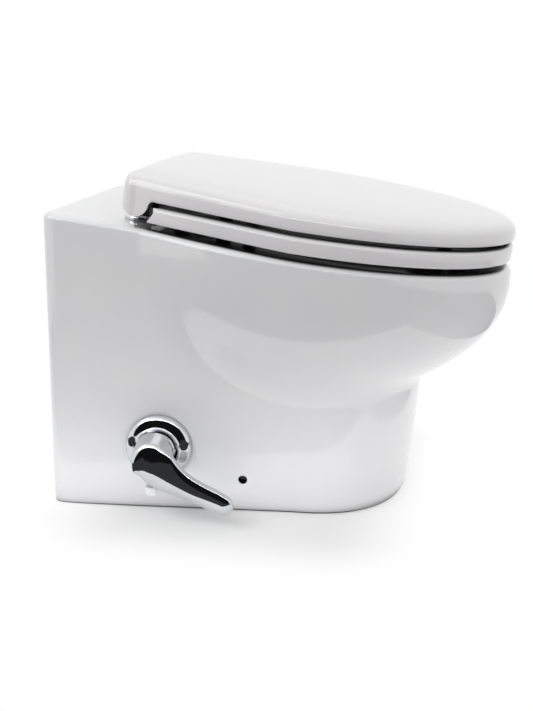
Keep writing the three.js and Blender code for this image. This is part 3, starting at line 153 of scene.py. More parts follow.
POST_NECK = 8
POST_BASE = 19.5
POST_BASE_BACK = 4
POST_BASE_IN = 10
POST_BASE_HEIGHT = 4
POST_BASE_ROUND = 1.2
POST_SINK = 1
PIN_RADIUS = 4.5
KNUCKLE_RADIUS = 11
KNUCKLE_WIDTH = 18
BOLT_RADIUS = 4
BOLT_TAIL = 18

# Mixer
MIXER_X = 127
MIXER_Z = 70.8
ESCUTCHEON_RADIUS = 36.3
ESCUTCHEON_HEIGHT = 13
SLEEVE_RADIUS = 23.5
SLEEVE_SHOULDER = 10
SLEEVE_EDGE = [(0, 1.5), (0.5, 0.4), (1.4, 0)]
SLEEVE_CONE_TOP = 16
DOME_STEPS = 16
LEVER_PIVOT = 24
DOME_RADIUS = 20.2
DOME_GAP = 1.6
CARTRIDGE_RADIUS = 12.2
SHANK_RADIUS = 16
CAP_RADIUS = 24.3
CAP_TOP = 57
TIP_THICKNESS = 15
HANDLE_BLEND = 50
HANDLE_RISE = 2
HANDLE_POWER = 0.8
LEVER_DROOP = 31
PLUG_RADIUS = 6.3
PLUG_REACH = 36.5
PLUG_LENGTH = 8.5
PLUG_ROUND = 1.6

# Clearances, units and steps round a circle
CLEAR = 0.3
RUNNING_GAP = 0.5
OVERRUN = 2
METRE = 1000
WIDE = 96
MIDDLING = 48
SMALL = 24


def lerp(a, b, share):
    return a + (b - a) * share


def clamp_share(value):
    return min(max(value, 0), 1)


# Frames: the china's own, the sloping deck's, the mixer's and the lever's.
RIM_SLOPE = (REAR_HEIGHT - FRONT_HEIGHT) / BODY_LENGTH
SLOPE = math.atan(RIM_SLOPE)


def rim_height(x):
    return REAR_HEIGHT - RIM_SLOPE * x


def place(x, y, z):
    return Vector(((x - BODY_LENGTH / 2) / METRE, (y + CENTRE_SHIFT) / METRE, z / METRE))


def on_deck(u, v, w):
    x = HINGE_X + u * math.cos(SLOPE) + w * math.sin(SLOPE)
    return place(x, v, rim_height(HINGE_X) - u * math.sin(SLOPE) + w * math.cos(SLOPE))


def along_deck(x):
    return (x - HINGE_X) / math.cos(SLOPE)


# Outline of the china: the smooth union, in polar form about the waist, of the base and the bulge.
def super_radius(p, q, power):
    return (abs(p) ** power + abs(q) ** power) ** (-1 / power)


def smooth_max(a, b, width):
    near = max(width - abs(a - b), 0)
    return max(a, b) + near * near / (4 * width)


CORNER_CUT = 1 - math.sqrt(0.5)
CORNER_POWER = math.log(2) / -math.log(1 - CORNER_CUT * BACK_CORNER / (DECK_WIDTH / 2))


def body_height(x):
    return rim_height(x) - RIM_EDGE


def base_plan(share):
    neck = clamp_share(share * body_height(FOOT_FRONT_X) / NECK_HEIGHT)
    back = lerp(FOOT_BACK_X, 0, share)
    waist = lerp(FOOT_WAIST_WIDTH, NECK_WAIST_WIDTH, share) / 2
    rear = lerp(FOOT_REAR_WIDTH, DECK_WIDTH, share) / 2
    front = lerp(FOOT_FRONT_X, NECK_FRONT_X, neck ** NECK_CURVE_POWER)
    return back, front, waist, rear, (rear - waist) / (WAIST_X - back)


def base_radius(angle, share):
    back, front, waist, _, taper = base_plan(share)
    c, s = math.cos(angle), abs(math.sin(angle))
    if c >= 0:
        return super_radius(c / (front - WAIST_X), s / waist, BASE_FRONT_POWER)
    return super_radius(c / (WAIST_X - back), (s + taper * c) / waist, CORNER_POWER)


BULGE_TOP_SHARE = 1 - BULGE_TOP_DROP / body_height(WAIST_X)


def bulge_radius(angle, share):
    c = math.cos(angle)
    depth = lerp(BULGE_DEPTH, BULGE_FRONT_DEPTH, c * c if c > 0 else 0)
    fall = max(BULGE_TOP_SHARE - share, 0) * body_height(WAIST_X) / depth
    if fall >= 1:
        return 0
    reach = BODY_LENGTH - WAIST_X if c >= 0 else BULGE_REAR_LENGTH
    return math.sqrt(1 - fall * fall) * super_radius(c / reach, math.sin(angle) / (BOWL_WIDTH / 2), 2)


def body_radius(angle, share):
    c = max(math.cos(angle), 0)
    blend = lerp(BLEND_WIDTH, FRONT_BLEND_WIDTH, c * c)
    return smooth_max(base_radius(angle, share), bulge_radius(angle, share), blend)


FRONT_STEPS = 44
SIDE_STEPS = 20
CORNER_STEPS = 16
BACK_STEPS = 8
CORNER_SPREAD = math.radians(5)
PROBE = math.radians(0.5)


def body_angles(share):
    back, _, _, rear, _ = base_plan(share)
    corner = math.atan2(rear, back - WAIST_X)
    stops = [0, math.pi / 2, corner - CORNER_SPREAD, corner + CORNER_SPREAD, math.pi]
    steps = [FRONT_STEPS, SIDE_STEPS, CORNER_STEPS, BACK_STEPS]
    half = [0]
    for i, count in enumerate(steps):
        half += [lerp(stops[i], stops[i + 1], (k + 1) / count) for k in range(count)]
    return half + [-angle for angle in reversed(half[1:-1])]


def body_ring(share, inset=0, lift=0):
    ring = []
    for angle in body_angles(share):
        radii = [body_radius(angle + turn, share) for turn in (-PROBE, 0, PROBE)]
        (x0, y0), (px, py), (x1, y1) = [
            (WAIST_X + r * math.cos(angle + turn), r * math.sin(angle + turn))
            for r, turn in zip(radii, (-PROBE, 0, PROBE))]
        scale = inset / math.hypot(x1 - x0, y1 - y0)
        x = px - (y1 - y0) * scale
        ring.append((x, py + (x1 - x0) * scale, share * body_height(x) + lift))
    return ring


def side_half_width(x, z):
    _, _, waist, _, taper = base_plan(z / body_height(x))
    return waist + taper * (WAIST_X - x)


def bowl_ring(depth, outset, lift, angles):
    full = math.sqrt(1 - depth * depth)
    back = lerp(OPEN_BACK_X, SUMP_X - SUMP_RADIUS, depth) - outset
    front = lerp(SUMP_X + SUMP_RADIUS, OPEN_FRONT_X, full) + outset
    side = lerp(SUMP_RADIUS, OPEN_HALF_WIDTH, full) + outset
    centre = lerp((OPEN_BACK_X + OPEN_FRONT_X) / 2, SUMP_X, depth)
    ring = []
    for angle in angles:
        c = math.cos(angle)
        x = centre + c * (front - centre if c >= 0 else centre - back)
        ring.append((x, side * math.sin(angle), lerp(rim_height(x), SUMP_TOP, depth) + lift))
    return ring


# Mesh helpers. Points nearer than these merge: in a finished mesh in metres, in a profile in mm.
SEAM = 1e-6
PROFILE_SEAM = 1e-4


def to_object(name, bm, smooth_angle=35):
    bmesh.ops.remove_doubles(bm, verts=bm.verts, dist=SEAM)
    bmesh.ops.recalc_face_normals(bm, faces=bm.faces)
    mesh = bpy.data.meshes.new(name)
    bm.to_mesh(mesh)
    bm.free()
    piece = bpy.data.objects.new(name, mesh)
    bpy.context.scene.collection.objects.link(piece)
    shade(piece, smooth_angle)
    return piece


def shade(piece, smooth_angle):
    piece.data.shade_smooth()
    piece.data.set_sharp_from_angle(angle=math.radians(smooth_angle))


def next_ring(bm, ring, points):
    """Extrudes the ring's edges and puts the new vertices on the points."""
    edges = [bm.edges.get((ring[i - 1], ring[i])) for i in range(len(ring))]
    made = bmesh.ops.extrude_edge_only(bm, edges=edges)["geom"]
    new = {v for v in made if isinstance(v, bmesh.types.BMVert)}
    grown = []
    for old, point in zip(ring, points):
        vert = next(e.other_vert(old) for e in old.link_edges if e.other_vert(old) in new)
        vert.co = point
        grown.append(vert)
    return grown


def close_end(bm, ring, centre):
    """Fans the ring in to one point."""
    tip = next_ring(bm, ring, [centre] * len(ring))
    bmesh.ops.pointmerge(bm, verts=tip, merge_co=centre)


def loft(rings, centres=None):
    """Skin over rings of points. The centres close the two ends, where a centre of None is for an end
    whose points meet in a seam; without centres the last ring joins the first."""
    bm = bmesh.new()
    first = bmesh.ops.create_circle(bm, cap_ends=False, segments=len(rings[0]), radius=1)["verts"]
    for vert, point in zip(first, rings[0]):
        vert.co = point
    if centres and centres[0]:
        close_end(bm, first, centres[0])
    ring = first
    for points in rings[1:]:
        ring = next_ring(bm, ring, points)
    if centres and centres[1]:
        close_end(bm, ring, centres[1])
    if not centres:
        loops = [bm.edges.get((r[i - 1], r[i])) for r in (first, ring) for i in range(len(r))]
        bmesh.ops.bridge_loops(bm, edges=loops)
    return bm


def spun(profile, to_world, steps=WIDE):
    """Revolves a profile of (radius, height) points about Z, then puts it in place."""
    bm = bmesh.new()
    verts = [bm.verts.new((radius, 0, height)) for radius, height in profile]
    edges = [bm.edges.new((verts[i], verts[i + 1])) for i in range(len(verts) - 1)]
    bmesh.ops.spin(bm, geom=verts + edges, cent=(0, 0, 0), axis=(0, 0, 1), angle=2 * math.pi,
                   steps=steps, use_merge=True)
    bmesh.ops.remove_doubles(bm, verts=bm.verts, dist=PROFILE_SEAM)
    for vert in bm.verts:
        vert.co = to_world(*vert.co)
    return bm


def rounded(profile, radius, steps=4):
    """Rounds the inner corners of an open profile with arcs of the radius."""
    out = [profile[0]]
    for before, corner, after in zip(profile, profile[1:], profile[2:]):
        a, b, c = Vector(before), Vector(corner), Vector(after)
        reach = min(radius, (a - b).length / 2, (c - b).length / 2)
        start, end = b + (a - b).normalized() * reach, b + (c - b).normalized() * reach
        for i in range(steps + 1):
            t = i / steps
            out.append(tuple(start * (1 - t) ** 2 + b * 2 * t * (1 - t) + end * t * t))
    return out + [profile[-1]]


def cylinder(radius, low, high, to_world, steps=MIDDLING):
    return spun([(0, low), (radius, low), (radius, high), (0, high)], to_world, steps)


def box_mesh(low, high, to_world):
    bm = bmesh.new()
    bmesh.ops.create_cube(bm, size=1)
    for vert in bm.verts:
        vert.co = [lerp(a, b, c + 0.5) for a, b, c in zip(low, high, vert.co)]
        vert.co = to_world(*vert.co)
    return bm


def prism(outline, low, high, to_world):
    """Flat outline of (p, q) points pushed from low to high along the third direction."""
    bm = bmesh.new()
    face = bm.faces.new([bm.verts.new((p, q, low)) for p, q in outline])
    made = bmesh.ops.extrude_face_region(bm, geom=[face])["geom"]
    top = [v for v in made if isinstance(v, bmesh.types.BMVert)]
    bmesh.ops.translate(bm, verts=top, vec=(0, 0, high - low))
    for vert in bm.verts:
        vert.co = to_world(*vert.co)
    return bm


def boolean(piece, tool_mesh, operation):
    """Joins or cuts a piece with a closed mesh, which is then thrown away."""
    tool = to_object(piece.name + "_tool", tool_mesh)
    modifier = piece.modifiers.new(operation, "BOOLEAN")
    modifier.operation = operation
    modifier.solver = "EXACT"
    modifier.object = tool
    bpy.context.view_layer.update()
    result = bpy.data.meshes.new_from_object(
        piece.evaluated_get(bpy.context.evaluated_depsgraph_get()))
    piece.modifiers.clear()
    old, piece.data = piece.data, result
    bpy.data.meshes.remove(old)
    bpy.data.objects.remove(tool)


def finish_piece(piece, body, slot, material, *nodes, smooth_angle=35):
    shade(piece, smooth_angle)
    piece.data.materials.clear()
    piece.data.materials.append(material)
    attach(piece, body)
    if nodes:
        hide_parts(*nodes)


# Materials
TONE_STOPS = (0.3, 0.7)
# Painted shade: in a gap, where the share of open sky falls from one of these to the other, the surface's
# colour and shine are darkened
GAP_OPEN_SHARE = 0.6
GAP_SHUT_SHARE = 0.25
GAP_SHADE_LEAST = 0.03


def colour(hex_code):
    """sRGB hex to linear."""
    parts = [int(hex_code[i:i + 2], 16) / 255 for i in (1, 3, 5)]
    return [c / 12.92 if c <= 0.04045 else ((c + 0.055) / 1.055) ** 2.4 for c in parts] + [1]


def add(tree, kind, inputs=None, **settings):
    """Adds a node; an input given as (node, output) is linked, anything else is its value."""
    node = tree.nodes.new(kind)
    for name, value in settings.items():
        setattr(node, name, value)
    for name, value in (inputs or {}).items():
        if isinstance(value, tuple) and isinstance(value[0], bpy.types.Node):
            tree.links.new(value[0].outputs[value[1]], node.inputs[name])
        else:
            node.inputs[name].default_value = value
    return node


def surface(name, base, second, grain_mm, rough, rough_spread=0, bump_mm=0, shade_gap_mm=0, **sockets):
    """Principled material whose colour and gloss drift a little between two tones over a grain.
    Given a gap width in mm, shade is painted in: colour and shine are darkened inside gaps about that wide."""
    material = bpy.data.materials.new(name)
    material.use_nodes = True
    tree = material.node_tree
    shader = tree.nodes["Principled BSDF"]
    where = add(tree, "ShaderNodeTexCoord")
    grain = add(tree, "ShaderNodeTexNoise", {
        "Vector": (where, "Object"), "Scale": METRE / grain_mm, "Detail": 4.0, "Roughness": 0.55})
    ramp = add(tree, "ShaderNodeValToRGB", {"Fac": (grain, "Fac")})
    for stop, position, tone in zip(ramp.color_ramp.elements, TONE_STOPS, (base, second)):
        stop.position = position
        stop.color = colour(tone)
    tint = (ramp, "Color")
    # Painted shade: ambient occlusion darkens the colour, the specular and the coat inside gaps and crevices
    if shade_gap_mm:
        open_share = add(tree, "ShaderNodeAmbientOcclusion", {"Distance": shade_gap_mm / METRE}, samples=16)
        depth = add(tree, "ShaderNodeMapRange", {
            "Value": (open_share, "AO"), "From Min": GAP_SHUT_SHARE, "From Max": GAP_OPEN_SHARE,
            "To Min": GAP_SHADE_LEAST, "To Max": 1.0})
        gap_shaded = add(tree, "ShaderNodeVectorMath", {0: tint, "Scale": (depth, "Result")}, operation="SCALE")
        tint = (gap_shaded, "Vector")
        for socket, weight in (("Specular IOR Level", 0.5), ("Coat Weight", sockets.pop("Coat_Weight"))):
            less = add(tree, "ShaderNodeMath", {0: (depth, "Result"), 1: weight}, operation="MULTIPLY")
            tree.links.new(less.outputs["Value"], shader.inputs[socket])
    tree.links.new(tint[0].outputs[tint[1]], shader.inputs["Base Color"])
    if rough_spread:
        gloss = add(tree, "ShaderNodeMapRange", {
            "Value": (grain, "Fac"), "To Min": rough - rough_spread, "To Max": rough + rough_spread})
        tree.links.new(gloss.outputs["Result"], shader.inputs["Roughness"])
    else:
        shader.inputs["Roughness"].default_value = rough
    if bump_mm:
        bump = add(tree, "ShaderNodeBump", {
            "Height": (grain, "Fac"), "Strength": 1.0, "Distance": bump_mm / METRE})
        tree.links.new(bump.outputs["Normal"], shader.inputs["Normal"])
    for socket, value in sockets.items():
        shader.inputs[socket.replace("_", " ")].default_value = value
    return material


# Vitreous china under a clear fired glaze: hard gloss over a faintly uneven white, with shade painted into
# gaps about 40 mm wide.
china = surface("glazed_vitreous_china", "#F1F1F2", "#EFEFF1", 60, 0.09, 0.015, 0.012, 40, IOR=1.52,
                Coat_Weight=0.35, Coat_Roughness=0.03)
# Urea thermoset, compression moulded and polished: glossy with a slow mould waviness, with shade painted into
# gaps about 40 mm wide.
thermoset = surface("moulded_urea_thermoset", "#EEECED", "#ECEAEC", 70, 0.14, 0.02, 0.01, 40, IOR=1.5,
                    Coat_Weight=0.2, Coat_Roughness=0.05)
# Chromed brass casting: mirror with the soft ripple that polishing leaves.
chrome = surface("chrome_plated_brass", "#DADCDF", "#D3D5D8", 14, 0.05, 0.012, 0.004, Metallic=1.0)
# Zinc-plated or stainless fittings, turned and pressed.
steel = surface("stainless_fittings", "#B5B8BB", "#A5A8AC", 3, 0.34, 0.06, 0.01, Metallic=1.0)
# Cast brass valve body, as cast with a dull yellow skin.
brass = surface("cast_brass", "#B6985C", "#A3854A", 2.5, 0.38, 0.07, 0.03, Metallic=1.0)
# Nitrile rubber, matt with fine bloom.
rubber = surface("nitrile_rubber", "#1E1E20", "#2A2A2C", 4, 0.72, 0.08, 0.02, IOR=1.52)
# Pale bumpers under the seat and the lid.
bumper_rubber = surface("bumper_rubber", "#BDBDBD", "#B4B4B5", 3, 0.6, 0.06, 0.015, IOR=1.52)
# Glass-filled nylon of the pump: dark with a spark-eroded grain.
black_nylon = surface("glass_filled_nylon", "#25262A", "#303238", 0.9, 0.5, 0.08, 0.03, IOR=1.53)
# Grey ABS housing of the control, with a fine leather-like mould grain.
grey_abs = surface("textured_grey_abs", "#9A9DA1", "#8F9296", 0.8, 0.48, 0.06, 0.02, IOR=1.54)
# White acetal and nylon small parts, slightly waxy.
white_acetal = surface("white_acetal", "#EAEAEA", "#E2E3E3", 5, 0.36, 0.04, 0.008, IOR=1.48)
# Powder coat on the pump's motor, with its fine orange peel.
motor_coat = surface("powder_coated_motor", "#2C2F34", "#363A40", 1.4, 0.4, 0.05, 0.03, IOR=1.5)
# Laminated core of the armature under brown insulating varnish.
armature_varnish = surface("varnished_armature", "#9A6440", "#7C4E30", 2, 0.35, 0.08, 0.02, Metallic=0.6)

MATERIALS = {
    "china": china, "seat_plastic": thermoset, "chrome": chrome, "steel": steel,
    "brass": brass, "rubber": rubber, "buffer_rubber": bumper_rubber, "black_plastic": black_nylon,
    "grey_plastic": grey_abs, "white_plastic": white_acetal, "motor_paint": motor_coat,
    "armature_steel": armature_varnish,
}


def dress_frame():
    """Every CAD node that stays shown takes the procedural material of its slot."""
    for entry in frame["record"]["subparts"]:
        node = frame["nodes"][entry["node"]]
        node.data.materials.clear()
        node.data.materials.append(MATERIALS[entry["material_slot"]])


# The china
RIM_ROUND_STEPS = 8
LIP_STEPS = 6
OUTER_SHARES = [i / MIDDLING for i in range(MIDDLING + 1)]
DECK_SHARES = [0.12, 0.3, 0.5, 0.7, 0.88]
BOWL_SHARES = [0.03, 0.08, 0.15, 0.22, 0.3, 0.38, 0.46, 0.54, 0.62, 0.7, 0.77, 0.83, 0.88, 0.92, 0.95,
               0.975, 0.99, 1]
VOID_STEPS = 12
VOID_SHARES = [i / VOID_STEPS for i in range(VOID_STEPS + 1)]
SHELL_SHARES = [1, 0.97, 0.9, 0.78, 0.62, 0.42, 0.2, 0.1]
SUMP_WALL_SHARES = [0.3, 0.6, 0.85]
# Rounding of the sump's floor: how far out from its wall, and how high over the floor
SUMP_FLOOR_ROUND = [(-1.5, 3), (-5, 0.8), (-12, 0)]


def bowl_angles(ring):
    """Directions of the rim's outline points as seen from the bowl opening's middle."""
    middle = (OPEN_BACK_X + OPEN_FRONT_X) / 2
    return [math.atan2(y / OPEN_HALF_WIDTH, (x - middle) / ((OPEN_FRONT_X - OPEN_BACK_X) / 2))
            for x, y, _ in ring]


def blend_rings(first, last, share):
    return [tuple(lerp(a, b, share) for a, b in zip(p, q)) for p, q in zip(first, last)]


def china_body():
    """Lofts one skin: up the bowl from the sump's floor, over the rim, down the sides and up inside."""
    foot_inner = body_ring(0, WALL)
    rings = [body_ring(0, FOOT_EDGE)]
    for i in range(1, FOOT_EDGE_STEPS + 1):
        turn = i / FOOT_EDGE_STEPS * math.pi / 2
        rings.append(body_ring(0, FOOT_EDGE * (1 - math.sin(turn)), FOOT_EDGE * (1 - math.cos(turn))))
    rings += [body_ring(share) for share in OUTER_SHARES[1:]]
    for i in range(1, RIM_ROUND_STEPS + 1):
        turn = i / RIM_ROUND_STEPS * math.pi / 2
        rings.append(body_ring(1, RIM_EDGE * (1 - math.cos(turn)), RIM_EDGE * math.sin(turn)))
    rim = rings[-1]
    angles = bowl_angles(rim)
    opening = bowl_ring(0, LIP_ROUND, 0, angles)
    rings += [blend_rings(rim, opening, share) for share in DECK_SHARES]
    for i in range(LIP_STEPS + 1):
        turn = i / LIP_STEPS * math.pi / 2
        outset, drop = LIP_ROUND * (1 - math.sin(turn)), LIP_ROUND * (1 - math.cos(turn))
        rings.append(bowl_ring(0, outset, -drop, angles))
    rings += [bowl_ring(share, 0, 0, angles) for share in BOWL_SHARES]
    floor_ring = bowl_ring(1, 0, SUMP_FLOOR - SUMP_TOP, angles)
    rings += [blend_rings(rings[-1], floor_ring, share) for share in SUMP_WALL_SHARES]
    for outset, lift in SUMP_FLOOR_ROUND:
        rings.append(bowl_ring(1, outset, SUMP_FLOOR - SUMP_TOP + lift, angles))
    rings.reverse()
    rings.append(foot_inner)
    top = RIM_EDGE - DECK_THICKNESS
    rings += [body_ring(share, WALL, share * top) for share in VOID_SHARES[1:]]
    ceiling = [(x, y, rim_height(x) - DECK_THICKNESS) for x, y, _ in bowl_ring(0, WALL, 0, angles)]
    rings += [blend_rings(rings[-1], ceiling, share) for share in (0.5, 1)]
    rings += [bowl_ring(share, WALL, 0, angles) for share in reversed(SHELL_SHARES)]
    rings.append(bowl_ring(1, WALL, SUMP_FLOOR - WALL - SUMP_TOP, angles))
    ends = [place(SUMP_X, 0, SUMP_FLOOR), place(SUMP_X, 0, SUMP_FLOOR - WALL)]
    body = to_object("glazed_china_body", loft([[place(*p) for p in ring] for ring in rings], ends))
    spigot_back = SUMP_X - SUMP_RADIUS - WALL - SPIGOT_LENGTH

    def along_x(p, q, r):
        return place(r, p, q + OUTLET_HEIGHT)

    boolean(body, cylinder(SPIGOT_RADIUS, spigot_back, SUMP_X - SUMP_RADIUS - WALL / 2, along_x), "UNION")
    boolean(body, cylinder(OUTLET_RADIUS, spigot_back - OVERRUN, SUMP_X, along_x), "DIFFERENCE")
    for tool in china_holes():
        boolean(body, tool, "DIFFERENCE")
    finish_piece(body, "root", "china", china, "ceramic_body", smooth_angle=30)


def rounded_rectangle(x0, x1, y0, y1, r, steps=10):
    points = []
    corners = [(x1 - r, y0 + r), (x1 - r, y1 - r), (x0 + r, y1 - r), (x0 + r, y0 + r)]
    for start, (cx, cy) in enumerate(corners, -1):
        for i in range(steps + 1):
            turn = (start + i / steps) * math.pi / 2
            points.append((cx + r * math.cos(turn), cy + r * math.sin(turn)))
    return points


def china_holes():
    """Closed tools for the service opening, the fixings, the tap, the hinges and the nozzles."""
    service = rounded_rectangle(
        -SERVICE_HALF_WIDTH, SERVICE_HALF_WIDTH, SERVICE_LOW, SERVICE_HIGH, SERVICE_CORNER)
    yield prism(service, -2 * WALL, FOOT_BACK_X + 2 * WALL, lambda p, q, r: place(r, p, q))
    fixing_wall = side_half_width(FIXING_X, FIXING_Z)
    nozzle_z = rim_height(OPEN_BACK_X) - NOZZLE_DROP
    for side in (-1, 1):
        def through_side(p, q, r):
            return place(FIXING_X + p, side * r, FIXING_Z + q)

        def through_deck(p, q, r):
            return place(HINGE_X + p, side * HINGE_SPACING + q, rim_height(HINGE_X) + r)

        def through_bowl(p, q, r):
            return place(r, side * NOZZLE_Y + p, nozzle_z + q)

        yield cylinder(FIXING_RADIUS, fixing_wall - 2 * WALL, fixing_wall + WALL, through_side, SMALL)
        yield cylinder(
            FIXING_RELIEF, fixing_wall - 2 * WALL, fixing_wall - FIXING_SKIN, through_side, SMALL)
        yield cylinder(HINGE_BOLT_HOLE, -2 * DECK_THICKNESS, 2 * OVERRUN, through_deck, SMALL)
        yield cylinder(
            NOZZLE_HOLE, OPEN_BACK_X - 3 * WALL, OPEN_BACK_X + 3 * WALL, through_bowl, SMALL)
    tap_wall = side_half_width(MIXER_X, MIXER_Z)
    yield cylinder(TAP_HOLE_RADIUS, -tap_wall - 2 * WALL, -tap_wall + 3 * WALL,
                   lambda p, q, r: place(MIXER_X + p, r, MIXER_Z + q))


# Plan of the seat and the lid
PLAN_BACK = 24
PLAN_CORNER = 12
PLAN_FLARE = 28
PLAN_FRONT = 60
LID_REAR_X = HINGE_X - LOBE_RADIUS


def lid_plan(inset, back_inset=None):
    half_width = LID_HALF_WIDTH - inset
    rear = LID_REAR_HALF_WIDTH - inset
    back = LID_REAR_X + (inset if back_inset is None else back_inset)
    corner = max(LID_CORNER - inset, LID_CORNER / 4)
    half = [(back, (rear - corner) * i / PLAN_BACK) for i in range(PLAN_BACK)]
    for i in range(PLAN_CORNER + 1):
        turn = i / PLAN_CORNER * math.pi / 2
        half.append((back + corner * (1 - math.cos(turn)), rear - corner * (1 - math.sin(turn))))
    for i in range(1, PLAN_FLARE + 1):
        share = i / PLAN_FLARE
        flare = (half_width - rear) * (1 - share) ** FLARE_POWER
        half.append((lerp(back + corner, WAIST_X, share), half_width - flare))
    for i in range(1, PLAN_FRONT + 1):
        turn = i / PLAN_FRONT * math.pi / 2
        half.append((WAIST_X + (LID_FRONT_X - inset - WAIST_X) * math.sin(turn), half_width * math.cos(turn)))
    half[-1] = (half[-1][0], 0)
    return half + [(x, -y) for x, y in reversed(half[1:-1])]


SEAT_LOW = SEAT_GAP
SEAT_TOP = SEAT_GAP + SEAT_THICKNESS
LID_LOW = SEAT_TOP + LID_GAP
POST_INNER = HINGE_SPACING - POST_WIDTH / 2
POST_OUTER = HINGE_SPACING + POST_WIDTH / 2
LOBE_INNER = LID_REAR_HALF_WIDTH - LOBE_WIDTH
PIN_END = LOBE_INNER + LOBE_WIDTH - LID_WALL
KNUCKLE_OUTER = POST_INNER - RUNNING_GAP
KNUCKLE_INNER = KNUCKLE_OUTER - KNUCKLE_WIDTH
BUFFER_RADIUS = 8
BUFFER_COUNT = 4

# Shoulder of the lid: how far in from its outline, and how high, as shares
SHOULDER_SHARES = [
    (0.06, 0), (0.028, 0.012), (0.01, 0.04), (0, 0.1), (0.002, 0.2), (0.006, 0.31), (0.015, 0.42),
    (0.035, 0.53), (0.07, 0.63), (0.118, 0.72), (0.18, 0.8), (0.27, 0.868), (0.4, 0.92), (0.56, 0.958),
    (0.76, 0.985), (1, 1),
]
LID_TOP_SHARES = [0.2, 0.45, 0.7, 0.9]
# Inside of the lid: how far in from its wall, in walls, and how high as a share of its depth
LID_INSIDE_SHARES = [(0, 0), (0, 0.5), (0.15, 0.8), (0.5, 0.95), (1, 1)]
LOBE_TURN_SHARE = 0.9
FILLET_STEPS = 8


def lid_thickness(x):
    share = clamp_share((x - LID_REAR_X) / (LID_FRONT_X - LID_REAR_X))
    return LID_THICKNESS - LID_FRONT_FALL * share ** 2


def lid_crown(y):
    return LID_CROWN * (1 - (y / LID_HALF_WIDTH) ** 2)


def deck_ring(outline, height):
    return [on_deck(along_deck(x), y, height(x, y)) for x, y in outline]


def hinge_cylinder(radius, start, end):
    """Cylinder on the hinge line, from the start to the end along it."""
    return cylinder(radius, min(start, end), max(start, end),
                    lambda p, q, r: on_deck(p, r, HINGE_HEIGHT + q))


def lobe_outline():
    """Side view of the hinge lobe: round under the hinge line, filleted into the lid's edge."""
    middle_u, middle_w = LOBE_ROUND - LOBE_RADIUS, HINGE_HEIGHT + LOBE_LIFT
    points = []
    for i in range(SMALL + 1):
        turn = math.pi + i / SMALL * math.pi * LOBE_TURN_SHARE
        points.append((middle_u + LOBE_ROUND * math.cos(turn), middle_w + LOBE_ROUND * math.sin(turn)))
    start = points[-1]
    reach = middle_u + LOBE_ROUND
    bend = (reach + LOBE_FILLET_BEND, LID_LOW - LOBE_FILLET_DROP)
    end = (reach + LOBE_FILLET, LID_LOW)
    for i in range(1, FILLET_STEPS + 1):
        t = i / FILLET_STEPS
        points.append(tuple((1 - t) ** 2 * s + 2 * t * (1 - t) * m + t * t * e
                            for s, m, e in zip(start, bend, end)))
    top = LID_LOW + LID_WALL
    return points + [(reach + LOBE_FILLET, top), (-LOBE_RADIUS, top)]


def lid_cover():
    outer = [deck_ring(lid_plan(inset * LID_SHOULDER, inset * LID_BACK_SHOULDER),
                       lambda x, y: LID_LOW + up * (lid_thickness(x) + lid_crown(y)))
             for inset, up in SHOULDER_SHARES]
    middle_x = (LID_REAR_X + LID_FRONT_X) / 2
    flat = lid_plan(LID_SHOULDER, LID_BACK_SHOULDER)
    for share in LID_TOP_SHARES:
        drawn = [(lerp(x, middle_x, share), lerp(y, 0, share)) for x, y in flat]
        outer.append(deck_ring(drawn, lambda x, y: LID_LOW + lid_thickness(x) + lid_crown(y)))
    crown = on_deck(along_deck(middle_x), 0, LID_LOW + lid_thickness(middle_x) + LID_CROWN)
    inner = []
    for inset, up in LID_INSIDE_SHARES:
        outline = lid_plan(LID_WALL + inset * LID_WALL)
        inner.append(deck_ring(outline, lambda x, y: LID_LOW + up * (lid_thickness(x) - LID_WALL)))
    ceiling = on_deck(along_deck(middle_x), 0, LID_LOW + lid_thickness(middle_x) - LID_WALL)
    rings = list(reversed(inner)) + outer
    return loft(rings, [ceiling, crown])


def hinge_lobe(side):
    """Closed mesh of one of the two lobes that carry the lid, cut to the lid's outline."""
    outer = LOBE_INNER + LOBE_WIDTH + LID_WALL
    lobe = to_object("lid_lobe", prism(
        lobe_outline(), LOBE_INNER, outer, lambda p, q, r: on_deck(p, side * r, q)))
    heights = (HINGE_HEIGHT - LOBE_RADIUS - OVERRUN, LID_LOW + LID_WALL / 2)
    column = loft([deck_ring(lid_plan(0), lambda x, y: height) for height in heights],
                  [on_deck(along_deck(WAIST_X), 0, height) for height in heights])
    boolean(lobe, column, "INTERSECT")
    shape = bmesh.new()
    shape.from_mesh(lobe.data)
    bpy.data.objects.remove(lobe)
    return shape


def lid():
    piece = to_object("thermoset_lid", lid_cover())
    for side in (-1, 1):
        boolean(piece, hinge_lobe(side), "UNION")
        pin_hole = hinge_cylinder(PIN_RADIUS + CLEAR, side * (LOBE_INNER - OVERRUN), side * PIN_END)
        boolean(piece, pin_hole, "DIFFERENCE")
        ends = sorted((side * (KNUCKLE_INNER - RUNNING_GAP), side * (POST_OUTER + RUNNING_GAP)))
        notch = box_mesh((-LOBE_RADIUS - OVERRUN, ends[0], LID_LOW - OVERRUN),
                         (0, ends[1], LID_LOW + LID_THICKNESS / 2), on_deck)
        boolean(piece, notch, "DIFFERENCE")
    for u, v in buffer_places():
        top = LID_LOW + lid_thickness(u * math.cos(SLOPE) + HINGE_X) - LID_WALL / 2
        boss = cylinder(BUFFER_RADIUS, LID_LOW, top, lambda p, q, r: on_deck(u + p, v + q, r), SMALL)
        boolean(piece, boss, "UNION")
    finish_piece(piece, "lid", "seat_plastic", thermoset, "lid", smooth_angle=32)


def buffer_places():
    """Middles of the buffers, read from the frame's own."""
    places = []
    for i in range(BUFFER_COUNT):
        low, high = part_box(f"lid_buffer_{i + 1}")
        centre = (low + high) / 2
        x = centre.x * METRE + BODY_LENGTH / 2
        z = centre.z * METRE
        u = (x - HINGE_X) * math.cos(SLOPE) - (z - rim_height(HINGE_X)) * math.sin(SLOPE)
        places.append((u, centre.y * METRE - CENTRE_SHIFT))
    return places


